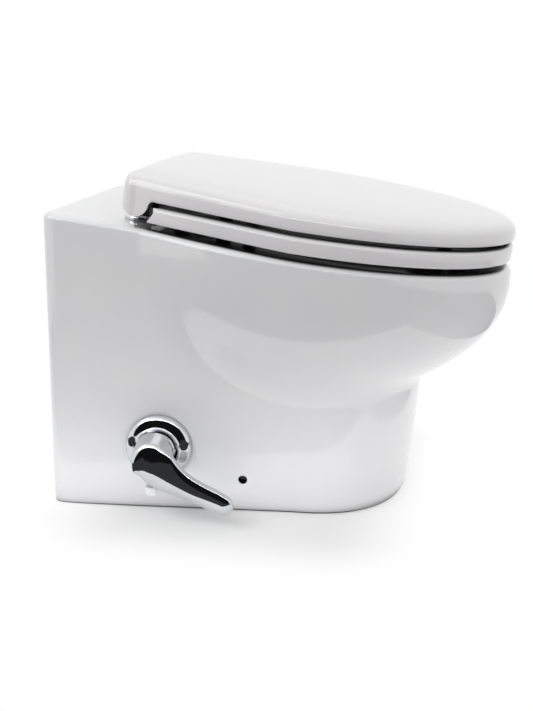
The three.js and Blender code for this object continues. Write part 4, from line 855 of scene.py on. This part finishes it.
# Seat band: section points as shares across the band, from outside, and of its thickness
SEAT_SECTION_SHARES = [
    (0.03, 0), (0.012, 0.02), (0.003, 0.06), (0, 0.12), (0, 0.42), (0, 0.72), (0.004, 0.8), (0.012, 0.86),
    (0.025, 0.92), (0.045, 0.96), (0.075, 0.985), (0.12, 1), (0.25, 1), (0.4, 0.98), (0.55, 0.93),
    (0.7, 0.86), (0.85, 0.74), (0.93, 0.62), (0.975, 0.48), (0.995, 0.33), (1, 0.18), (0.99, 0.07),
    (0.96, 0),
]
SHARP_EDGE = math.radians(45)


def seat_rings():
    centre = (SEAT_HOLE_BACK_X + SEAT_HOLE_FRONT_X) / 2
    reach = (SEAT_HOLE_FRONT_X - SEAT_HOLE_BACK_X) / 2
    outline = lid_plan(SEAT_INSET)
    inner = []
    for x, y in outline:
        angle = math.atan2(y, x - centre)
        radius = super_radius(math.cos(angle) / reach, math.sin(angle) / SEAT_HOLE_HALF_WIDTH, 2)
        inner.append((centre + radius * math.cos(angle), radius * math.sin(angle)))
    rings = []
    for across, up in SEAT_SECTION_SHARES:
        drawn = [(lerp(p[0], q[0], across), lerp(p[1], q[1], across)) for p, q in zip(outline, inner)]
        rings.append(deck_ring(drawn, lambda x, y: SEAT_LOW + up * SEAT_THICKNESS))
    return rings


def seat():
    piece = to_object("thermoset_seat", loft(seat_rings()))
    wide = LID_HALF_WIDTH + OVERRUN
    horn = along_deck(SEAT_HORN_X)
    rear = along_deck(LID_REAR_X) - OVERRUN
    lean = SEAT_HORN_LEAN / SEAT_THICKNESS * OVERRUN
    outline = [(rear, SEAT_LOW - OVERRUN), (horn - lean, SEAT_LOW - OVERRUN),
               (horn + SEAT_HORN_LEAN + lean, SEAT_TOP + OVERRUN), (rear, SEAT_TOP + OVERRUN)]
    boolean(piece, prism(outline, -wide, wide, lambda p, q, r: on_deck(p, r, q)), "DIFFERENCE")
    round_horns(piece)
    for side in (-1, 1):
        ends = sorted((side * KNUCKLE_INNER, side * KNUCKLE_OUTER))
        plank = box_mesh((0, ends[0], HINGE_HEIGHT - KNUCKLE_RADIUS),
                         (horn + 2 * SEAT_HORN_LEAN, ends[1], SEAT_TOP - CLEAR), on_deck)
        boolean(piece, plank, "UNION")
        boolean(piece, hinge_cylinder(KNUCKLE_RADIUS, *ends), "UNION")
        boolean(piece, hinge_cylinder(PIN_RADIUS + CLEAR, ends[0] - OVERRUN, ends[1] + OVERRUN), "DIFFERENCE")
    finish_piece(piece, "seat", "seat_plastic", thermoset, "seat_ring", smooth_angle=32)


def round_horns(piece):
    """Softens the cut ends of the seat with a small bevel."""
    bm = bmesh.new()
    bm.from_mesh(piece.data)
    bm.normal_update()
    sharp = [e for e in bm.edges if len(e.link_faces) == 2 and e.calc_face_angle() > SHARP_EDGE]
    bmesh.ops.bevel(bm, geom=sharp, offset=SEAT_HORN_BEVEL / METRE, segments=4, profile=0.5,
                    affect="EDGES", material=-1, clamp_overlap=True)
    bm.to_mesh(piece.data)
    bm.free()


def hinge_posts():
    for side, name in ((-1, "near"), (1, "far")):
        def on_post(p, q, r):
            return on_deck(p, side * HINGE_SPACING + q, r)

        def on_base(p, q, r):
            return on_post(p - POST_BASE_BACK, q - side * POST_BASE_IN, r)

        disc = [(0, CLEAR)] + rounded([
            (POST_BASE, CLEAR), (POST_BASE, POST_BASE_HEIGHT), (0, POST_BASE_HEIGHT)], POST_BASE_ROUND)
        post = to_object(f"chrome_hinge_post_{name}", spun(disc, on_base, MIDDLING))
        bolt_low, bolt_high = -DECK_THICKNESS - BOLT_TAIL, POST_BASE_HEIGHT - POST_SINK
        boolean(post, cylinder(BOLT_RADIUS, bolt_low, bolt_high, on_post, SMALL), "UNION")
        neck = box_mesh((-POST_NECK, -POST_WIDTH / 2, 2 * CLEAR),
                        (POST_NECK, POST_WIDTH / 2, HINGE_HEIGHT), on_post)
        boolean(post, neck, "UNION")
        boolean(post, hinge_cylinder(POST_HEAD, side * POST_INNER, side * POST_OUTER), "UNION")
        pin_ends = side * (POST_INNER - OVERRUN), side * (POST_OUTER + OVERRUN)
        boolean(post, hinge_cylinder(PIN_RADIUS + CLEAR, *pin_ends), "DIFFERENCE")
        finish_piece(post, "root", "chrome", chrome, f"hinge_post_{name}")


# Mixer frame: Z out of the wall, X to the front along it, Y up
MIXER_TAPER = base_plan(MIXER_Z / body_height(MIXER_X))[4]
MIXER_ANGLE = math.atan(MIXER_TAPER)


def wall_at_mixer(dx, dz):
    return side_half_width(MIXER_X + dx, MIXER_Z + dz) + MIXER_TAPER * dx


STAND_OFF = max(wall_at_mixer(0, -ESCUTCHEON_RADIUS), wall_at_mixer(-ESCUTCHEON_RADIUS, 0),
                wall_at_mixer(ESCUTCHEON_RADIUS, 0))


def on_mixer(a, b, c):
    x = MIXER_X + a * math.cos(MIXER_ANGLE) + c * math.sin(MIXER_ANGLE)
    y = -STAND_OFF + a * math.sin(MIXER_ANGLE) - c * math.cos(MIXER_ANGLE)
    return place(x, y, MIXER_Z + b)


def on_lever(a, b, c):
    droop = math.radians(LEVER_DROOP)
    cosine, sine = math.cos(droop), math.sin(droop)
    return on_mixer(a * cosine + b * sine, b * cosine - a * sine, c)


# Bell of the escutcheon: shares of the way in from its edge, and of its height
BELL_SHARES = [
    (0, 0.02), (0, 0.14), (0.02, 0.27), (0.06, 0.38), (0.12, 0.47), (0.19, 0.535), (0.27, 0.585),
    (0.36, 0.625), (0.48, 0.67), (0.62, 0.72), (0.76, 0.77), (0.88, 0.82), (0.95, 0.87), (1, 1),
]


def escutcheon():
    inner = SLEEVE_RADIUS + CLEAR
    profile = [(inner, CLEAR)]
    profile += [(lerp(ESCUTCHEON_RADIUS, inner, across), lerp(CLEAR, ESCUTCHEON_HEIGHT, up))
                for across, up in BELL_SHARES]
    profile.append((inner, CLEAR))
    piece = to_object("chrome_escutcheon", spun(profile, on_mixer))
    finish_piece(piece, "root", "chrome", chrome, "mixer_escutcheon")


def sleeve():
    low = math.asin((SLEEVE_CONE_TOP - LEVER_PIVOT) / DOME_RADIUS)
    high = math.acos((CARTRIDGE_RADIUS + CLEAR) / DOME_RADIUS)
    dome = []
    for i in range(DOME_STEPS + 1):
        turn = lerp(low, high, i / DOME_STEPS)
        dome.append((DOME_RADIUS * math.cos(turn), LEVER_PIVOT + DOME_RADIUS * math.sin(turn)))
    shank, ceiling = SHANK_RADIUS + CLEAR, SLEEVE_SHOULDER + CLEAR
    shoulder = [(SLEEVE_RADIUS - inset, SLEEVE_SHOULDER - drop) for inset, drop in SLEEVE_EDGE]
    profile = [(shank, CLEAR), (SLEEVE_RADIUS, CLEAR)] + shoulder + dome
    profile += [(CARTRIDGE_RADIUS + CLEAR, ceiling), (shank, ceiling), (shank, CLEAR)]
    piece = to_object("chrome_sleeve", spun(profile, on_mixer))
    finish_piece(piece, "root", "chrome", chrome, "mixer_sleeve")


# The lever is one casting. Its face is drawn between an outline and a crest, both read along the
# handle: from the crest the face falls gently to its upper edge and rolls over to its lower one.
TIP_X = 88
UPPER_EDGE = [
    (0, 24.2), (7, 22.6), (15.6, 19.6), (25.5, 15.2), (35, 12.2), (46, 10.9), (58, 11), (70, 12),
    (80, 12.7), (TIP_X, 12.6),
]
LOWER_EDGE = [
    (0, -24.3), (8, -26), (20, -24.8), (40, -19.4), (54, -16.4), (71, -13.6), (83, -12), (TIP_X, -11.4),
]
CREST_START = -9
CREST = [
    (CREST_START, -17.5), (-5, -11), (0, -6.8), (6, -5.2), (16, -5.2), (25, -5.8), (33, -6.3), (50, -6),
    (67, -4.2), (78, -3.4), (TIP_X, -2.6),
]
# Under the handle and up its wall: shares of the way from edge to crest, and from mouth to face
UNDER_SHARES = [1, 0.9, 0.6, 0.3, 0.12, 0.02]
WALL_SHARES = [0, 0.5, 0.94]
FACE_SHARES = [0, 0.008, 0.025, 0.05, 0.09, 0.14, 0.2, 0.27, 0.35, 0.45, 0.56, 0.7, 0.85, 1]
# How far up from its edge to the crest each kind of side has risen at those shares of the face
CAP_RISE_SHARES = [0, 0.1, 0.22, 0.34, 0.46, 0.56, 0.65, 0.73, 0.8, 0.86, 0.91, 0.955, 0.985, 1]
UPPER_RISE_SHARES = [0, 0.25, 0.45, 0.58, 0.66, 0.71, 0.76, 0.81, 0.86, 0.91, 0.945, 0.975, 0.994, 1]
LOWER_RISE_SHARES = [0, 0.12, 0.22, 0.31, 0.41, 0.51, 0.6, 0.68, 0.755, 0.825, 0.885, 0.94, 0.98, 1]
SHOULDER_RADIUS = 20.6
CAP_EDGE = 49
CAP_LOW_EDGE = 43
CREST_DIP = 1.5
CREST_DIP_X = 8
UPPER_FACE_EDGE = 50
LOWER_FACE_EDGE = 43
# Where along the lever its cap turns into the handle, on its upper and its lower side
UPPER_BLEND = (-2, 18)
LOWER_BLEND = (-4, 18)
UNDER_START = 18
UNDER_REACH = 32
UNDER_POWER = 1.3
UNDER_EDGE_SHARE = 0.6
EDGE_ROUND = 0.6
HANDLE_EDGE = 2.6
LEVER_SIDE_STEPS = 44
LEVER_END_STEPS = 40


def read_along(stations, x):
    """Smooth curve through the stations, read at x."""
    i = max(min(sum(1 for at, _ in stations if at <= x), len(stations) - 1), 1)
    (x0, y0), (x1, y1) = stations[i - 1], stations[i]
    before, after = stations[max(i - 2, 0)], stations[min(i + 1, len(stations) - 1)]
    slope0 = (y1 - before[1]) / (x1 - before[0])
    slope1 = (after[1] - y0) / (after[0] - x0)
    t, span = clamp_share((x - x0) / (x1 - x0)), x1 - x0
    return (y0 * (2 * t ** 3 - 3 * t ** 2 + 1) + slope0 * span * (t ** 3 - 2 * t ** 2 + t)
            + y1 * (3 * t ** 2 - 2 * t ** 3) + slope1 * span * (t ** 3 - t ** 2))


def ease(value, start=0, end=1):
    """Smooth step from 0 at the start to 1 at the end."""
    share = clamp_share((value - start) / (end - start))
    return share * share * (3 - 2 * share)


def lever_outline(cap_radius):
    """Points of (x, y, how far the side is the upper one, how far it is the handle's)."""
    points = []
    top, low = read_along(UPPER_EDGE, TIP_X), read_along(LOWER_EDGE, TIP_X)
    middle, half = (top + low) / 2, (top - low) / 2
    spare = CAP_RADIUS - cap_radius
    for i in range(LEVER_SIDE_STEPS):
        x = lerp(0, TIP_X, i / LEVER_SIDE_STEPS)
        handle = ease(x, *LOWER_BLEND)
        points.append((x, read_along(LOWER_EDGE, x) + spare * (1 - handle), 0, handle))
    for i in range(LEVER_END_STEPS):
        share = i / LEVER_END_STEPS
        turn = math.pi * (share - 0.5)
        points.append((TIP_X + half * math.cos(turn), middle + half * math.sin(turn), ease(share), 1))
    for i in range(LEVER_SIDE_STEPS):
        x = lerp(TIP_X, 0, i / LEVER_SIDE_STEPS)
        handle = ease(x, *UPPER_BLEND)
        points.append((x, read_along(UPPER_EDGE, x) - spare * (1 - handle), 1, handle))
    for i in range(LEVER_END_STEPS):
        share = i / LEVER_END_STEPS
        turn = math.pi * (share + 0.5)
        points.append((cap_radius * math.cos(turn), cap_radius * math.sin(turn), 1 - ease(share), 0))
    return points


def lever_under(x):
    share = clamp_share((x - UNDER_START) / UNDER_REACH)
    return lerp(LEVER_PIVOT - RUNNING_GAP, CAP_TOP - TIP_THICKNESS, share ** UNDER_POWER)


def lever_crest(face):
    """Point of the crest that each point of the face's outline looks to."""
    crest = []
    for x, _, _, _ in face:
        along = min(max(x, CREST_START), TIP_X)
        height = CAP_TOP - CREST_DIP * ease(-along, -CREST_DIP_X, -CREST_START)
        crest.append((along, read_along(CREST, along), height))
    return crest


def lever_rings():
    """Rings from the seam under the crest, out along the underside, up the wall and in over the face."""
    mouth, face = lever_outline(CAP_RADIUS), lever_outline(SHOULDER_RADIUS)
    crest = lever_crest(face)
    edges = [lerp(lerp(CAP_LOW_EDGE, CAP_EDGE, upper), lerp(LOWER_FACE_EDGE, UPPER_FACE_EDGE, upper), handle)
             for _, _, upper, handle in face]
    rings = []
    for across in UNDER_SHARES:
        near_edge = 1 - ease(across, 0, UNDER_EDGE_SHARE)
        rings.append([(lerp(x, cx, across), lerp(y, cy, across),
                       lerp(lever_under(x), edge - HANDLE_EDGE, handle * near_edge))
                      for (x, y, _, handle), (cx, cy, _), edge in zip(mouth, crest, edges)])
    lows = [lerp(lever_under(x), edge - HANDLE_EDGE, handle) + EDGE_ROUND
            for (x, _, _, handle), edge in zip(mouth, edges)]
    for share in WALL_SHARES:
        rings.append([(lerp(x, fx, share), lerp(y, fy, share), lerp(low, edge, share))
                      for (x, y, _, _), (fx, fy, _, _), low, edge in zip(mouth, face, lows, edges)])
    for k, across in enumerate(FACE_SHARES):
        ring = []
        for (x, y, upper, handle), (cx, cy, top), edge in zip(face, crest, edges):
            side_rise = lerp(LOWER_RISE_SHARES[k], UPPER_RISE_SHARES[k], upper)
            rise = lerp(CAP_RISE_SHARES[k], side_rise, handle)
            ring.append((lerp(x, cx, across), lerp(y, cy, across), lerp(edge, top, rise)))
        rings.append(ring)
    return rings


def lever():
    piece = to_object("chrome_lever", loft(
        [[on_lever(*p) for p in ring] for ring in lever_rings()], (None, None)))
    inner = DOME_RADIUS + DOME_GAP
    ball = [(0, LEVER_PIVOT - inner)]
    for i in range(1, SMALL):
        turn = lerp(-math.pi / 2, math.pi / 2, i / SMALL)
        ball.append((inner * math.cos(turn), LEVER_PIVOT + inner * math.sin(turn)))
    ball.append((0, LEVER_PIVOT + inner))
    boolean(piece, spun(ball, on_lever, MIDDLING), "DIFFERENCE")
    finish_piece(piece, "lever", "chrome", chrome, "mixer_lever", smooth_angle=40)


def plug_height():
    """Middle of the handle's thickness over the plug."""
    share = clamp_share(PLUG_REACH * math.sin(math.radians(LEVER_DROOP)) / HANDLE_BLEND)
    low = lerp(LEVER_PIVOT + HANDLE_RISE, CAP_TOP - TIP_THICKNESS, share ** HANDLE_POWER)
    return (CAP_TOP + low) / 2


def index_plug():
    height = plug_height()
    start = PLUG_REACH - PLUG_LENGTH
    corners = [(PLUG_RADIUS, start), (PLUG_RADIUS, PLUG_REACH), (0, PLUG_REACH)]
    profile = [(0, start)] + rounded(corners, PLUG_ROUND)
    piece = to_object("lever_plug", spun(profile, lambda p, q, r: on_mixer(p, -r, height + q), MIDDLING))
    finish_piece(piece, "lever", "white_plastic", white_acetal, "lever_index_plug")


# Camera, light and stage
PIXELS_WIDE = 533
FOCAL_PIXELS = 1082
SENSOR = 36
CAMERA_AZIMUTH = 9.7
CAMERA_ELEVATION = 15.33
CAMERA_ROLL = 0.57
CAMERA_DISTANCE = 1280
CAMERA_NEAR = 50
TARGET = (220.8, 0, 141.3)


def camera():
    a, e, r = (math.radians(v) for v in (CAMERA_AZIMUTH, CAMERA_ELEVATION, CAMERA_ROLL))
    back = Vector((math.sin(a) * math.cos(e), -math.cos(a) * math.cos(e), math.sin(e)))
    right = Vector((math.cos(a), math.sin(a), 0))
    up = back.cross(right)
    across = right * math.cos(r) + up * math.sin(r)
    upward = up * math.cos(r) - right * math.sin(r)
    data = bpy.data.cameras.new("camera")
    data.sensor_fit = "HORIZONTAL"
    data.sensor_width = SENSOR
    data.lens = FOCAL_PIXELS * SENSOR / PIXELS_WIDE
    data.clip_start = CAMERA_NEAR / METRE
    shot = bpy.data.objects.new("camera", data)
    matrix = Matrix((across, upward, back)).transposed().to_4x4()
    matrix.translation = place(*TARGET) + back * CAMERA_DISTANCE / METRE
    shot.matrix_world = matrix
    bpy.context.scene.collection.objects.link(shot)
    bpy.context.scene.camera = shot


def lamp(name, spot, aim, size, power, mirrored=True):
    """Soft rectangular lamp; with mirrored off, no reflection shows it."""
    data = bpy.data.lights.new(name, "AREA")
    data.shape = "RECTANGLE"
    data.size, data.size_y = size
    data.energy = power
    item = bpy.data.objects.new(name, data)
    item.location = spot
    item.rotation_euler = (Vector(aim) - Vector(spot)).to_track_quat("-Z", "Y").to_euler()
    item.visible_camera = False
    item.visible_glossy = mirrored
    bpy.context.scene.collection.objects.link(item)


def stage_piece(name, bm, material_name, surface_node):
    """Object of the stage in a bare material; surface_node gives its surface from the node tree."""
    mesh = bpy.data.meshes.new(name)
    bm.to_mesh(mesh)
    bm.free()
    piece = bpy.data.objects.new(name, mesh)
    bpy.context.scene.collection.objects.link(piece)
    material = bpy.data.materials.new(material_name)
    material.use_nodes = True
    tree = material.node_tree
    tree.nodes.clear()
    add(tree, "ShaderNodeOutputMaterial", {"Surface": surface_node(tree)})
    material.cycles.emission_sampling = "NONE"
    mesh.materials.append(material)
    return piece


def flag(name, low, high, shade_hex):
    """Card between two corners that the camera doesn't see and that throws no shadow."""
    def glow(tree):
        return add(tree, "ShaderNodeEmission", {"Color": colour(shade_hex), "Strength": 1.0}), "Emission"

    bm = box_mesh(low, high, lambda *point: point)
    bmesh.ops.remove_doubles(bm, verts=bm.verts, dist=SEAM)
    card = stage_piece(name, bm, name, glow)
    card.visible_camera = False
    card.visible_shadow = False
    card.visible_transmission = False
    card.visible_volume_scatter = False


def seen_directly(tree):
    """Output that is 1 for what the camera sees, mirrored or through glass too, and 0 for soft light."""
    path = add(tree, "ShaderNodeLightPath")
    seen = add(tree, "ShaderNodeMath", {
        0: (path, "Is Camera Ray"), 1: (path, "Is Glossy Ray")}, operation="MAXIMUM")
    return add(tree, "ShaderNodeMath", {
        0: (seen, "Value"), 1: (path, "Is Transmission Ray")}, operation="MAXIMUM"), "Value"


# Floor, and the box round the foot from which its shading fades out, in metres
FLOOR_SIZE = 12
SHADOW_MIDDLE = (-0.04, -0.012, 0)
SHADOW_HALF = (0.1, 0.155, 0)
SHADOW_FADE = 0.115
WORLD_LIGHT = 0.5


def floor_surface(tree):
    """Matt white near the object, where its shadow falls, and plain white further out."""
    def vector(operation, first, second=(0, 0, 0)):
        return add(tree, "ShaderNodeVectorMath", {0: first, 1: second}, operation=operation), "Vector"

    where = add(tree, "ShaderNodeTexCoord")
    from_middle = vector("ABSOLUTE", vector("SUBTRACT", (where, "Object"), SHADOW_MIDDLE))
    outside = vector("MAXIMUM", vector("SUBTRACT", from_middle, SHADOW_HALF))
    far = add(tree, "ShaderNodeVectorMath", {0: outside}, operation="LENGTH")
    away = add(tree, "ShaderNodeMapRange", {
        "Value": (far, "Value"), "From Min": 0.0, "From Max": SHADOW_FADE, "To Min": 0.0, "To Max": 1.0},
        interpolation_type="SMOOTHSTEP")
    plain = add(tree, "ShaderNodeMath", {0: (away, "Result"), 1: seen_directly(tree)}, operation="MULTIPLY")
    matt = add(tree, "ShaderNodeBsdfDiffuse", {"Color": colour("#F8F8F8")})
    glow = add(tree, "ShaderNodeEmission", {"Color": colour("#FFFFFF"), "Strength": 1.0})
    mixed = add(tree, "ShaderNodeMixShader", {
        "Fac": (plain, "Value"), 1: (matt, "BSDF"), 2: (glow, "Emission")})
    return mixed, "Shader"


def floor():
    bm = bmesh.new()
    bmesh.ops.create_grid(bm, x_segments=1, y_segments=1, size=FLOOR_SIZE)
    stage_piece("studio_floor", bm, "white_studio_floor", floor_surface)


def world():
    backdrop = bpy.data.worlds.new("white_studio")
    bpy.context.scene.world = backdrop
    backdrop.use_nodes = True
    tree = backdrop.node_tree
    tree.nodes.clear()
    white = add(tree, "ShaderNodeBackground", {"Color": colour("#FFFFFF"), "Strength": 1.0})
    soft = add(tree, "ShaderNodeBackground", {"Color": colour("#FFFFFF"), "Strength": WORLD_LIGHT})
    choice = add(tree, "ShaderNodeMixShader", {
        "Fac": seen_directly(tree), 1: (soft, "Background"), 2: (white, "Background")})
    add(tree, "ShaderNodeOutputWorld", {"Surface": (choice, "Shader")})


# Places of the lamps and cards, in metres
AIM = (0, 0, 0.15)
BOARD_FRONT = -0.30
BOARD_RIGHT = 0.37
ROOM_FRONT = -1.1
TABLE_LIFT = 0.0005
BOUNCE_LIFT = 0.001


def studio():
    camera()
    floor()
    world()
    lamp("overhead_softbox", (0.0, 0.35, 1.7), AIM, (1.6, 1.4), 1.7)
    lamp("high_front_softbox", (-0.2, -1.5, 1.5), AIM, (2.2, 1.0), 3.8)
    lamp("left_softbox", (-1.15, -0.95, 1.3), AIM, (1.0, 1.0), 8.6)
    lamp("right_softbox", (1.5, -0.75, 0.75), (0.2, 0, 0.3), (0.8, 0.6), 3.4, mirrored=False)
    lamp("front_strip", (0.05, -1.05, 0.95), (0, 0, 0.25), (1.9, 0.08), 4)
    lamp("board_bounce_front", (0.0, -0.27, BOUNCE_LIFT), (0, -0.27, 1), (0.75, 0.2), 0.4, mirrored=False)
    lamp("board_bounce_side", (0.31, 0.02, BOUNCE_LIFT), (0.31, 0.02, 1), (0.22, 0.36), 0.17, mirrored=False)
    flag("dark_table", (-1.2, ROOM_FRONT, TABLE_LIFT), (1.2, BOARD_FRONT, TABLE_LIFT), "#3A3A3C")
    flag("dark_table_side", (BOARD_RIGHT, BOARD_FRONT, TABLE_LIFT), (1.2, 0.4, TABLE_LIFT), "#8A8A8C")
    flag("dark_room", (-1.0, ROOM_FRONT, 0), (1.0, ROOM_FRONT, 1.25), "#161617")
    bpy.context.scene.view_settings.view_transform = "Standard"


studio()
dress_frame()
china_body()
seat()
lid()
hinge_posts()
escutcheon()
sleeve()
lever()
index_plug()
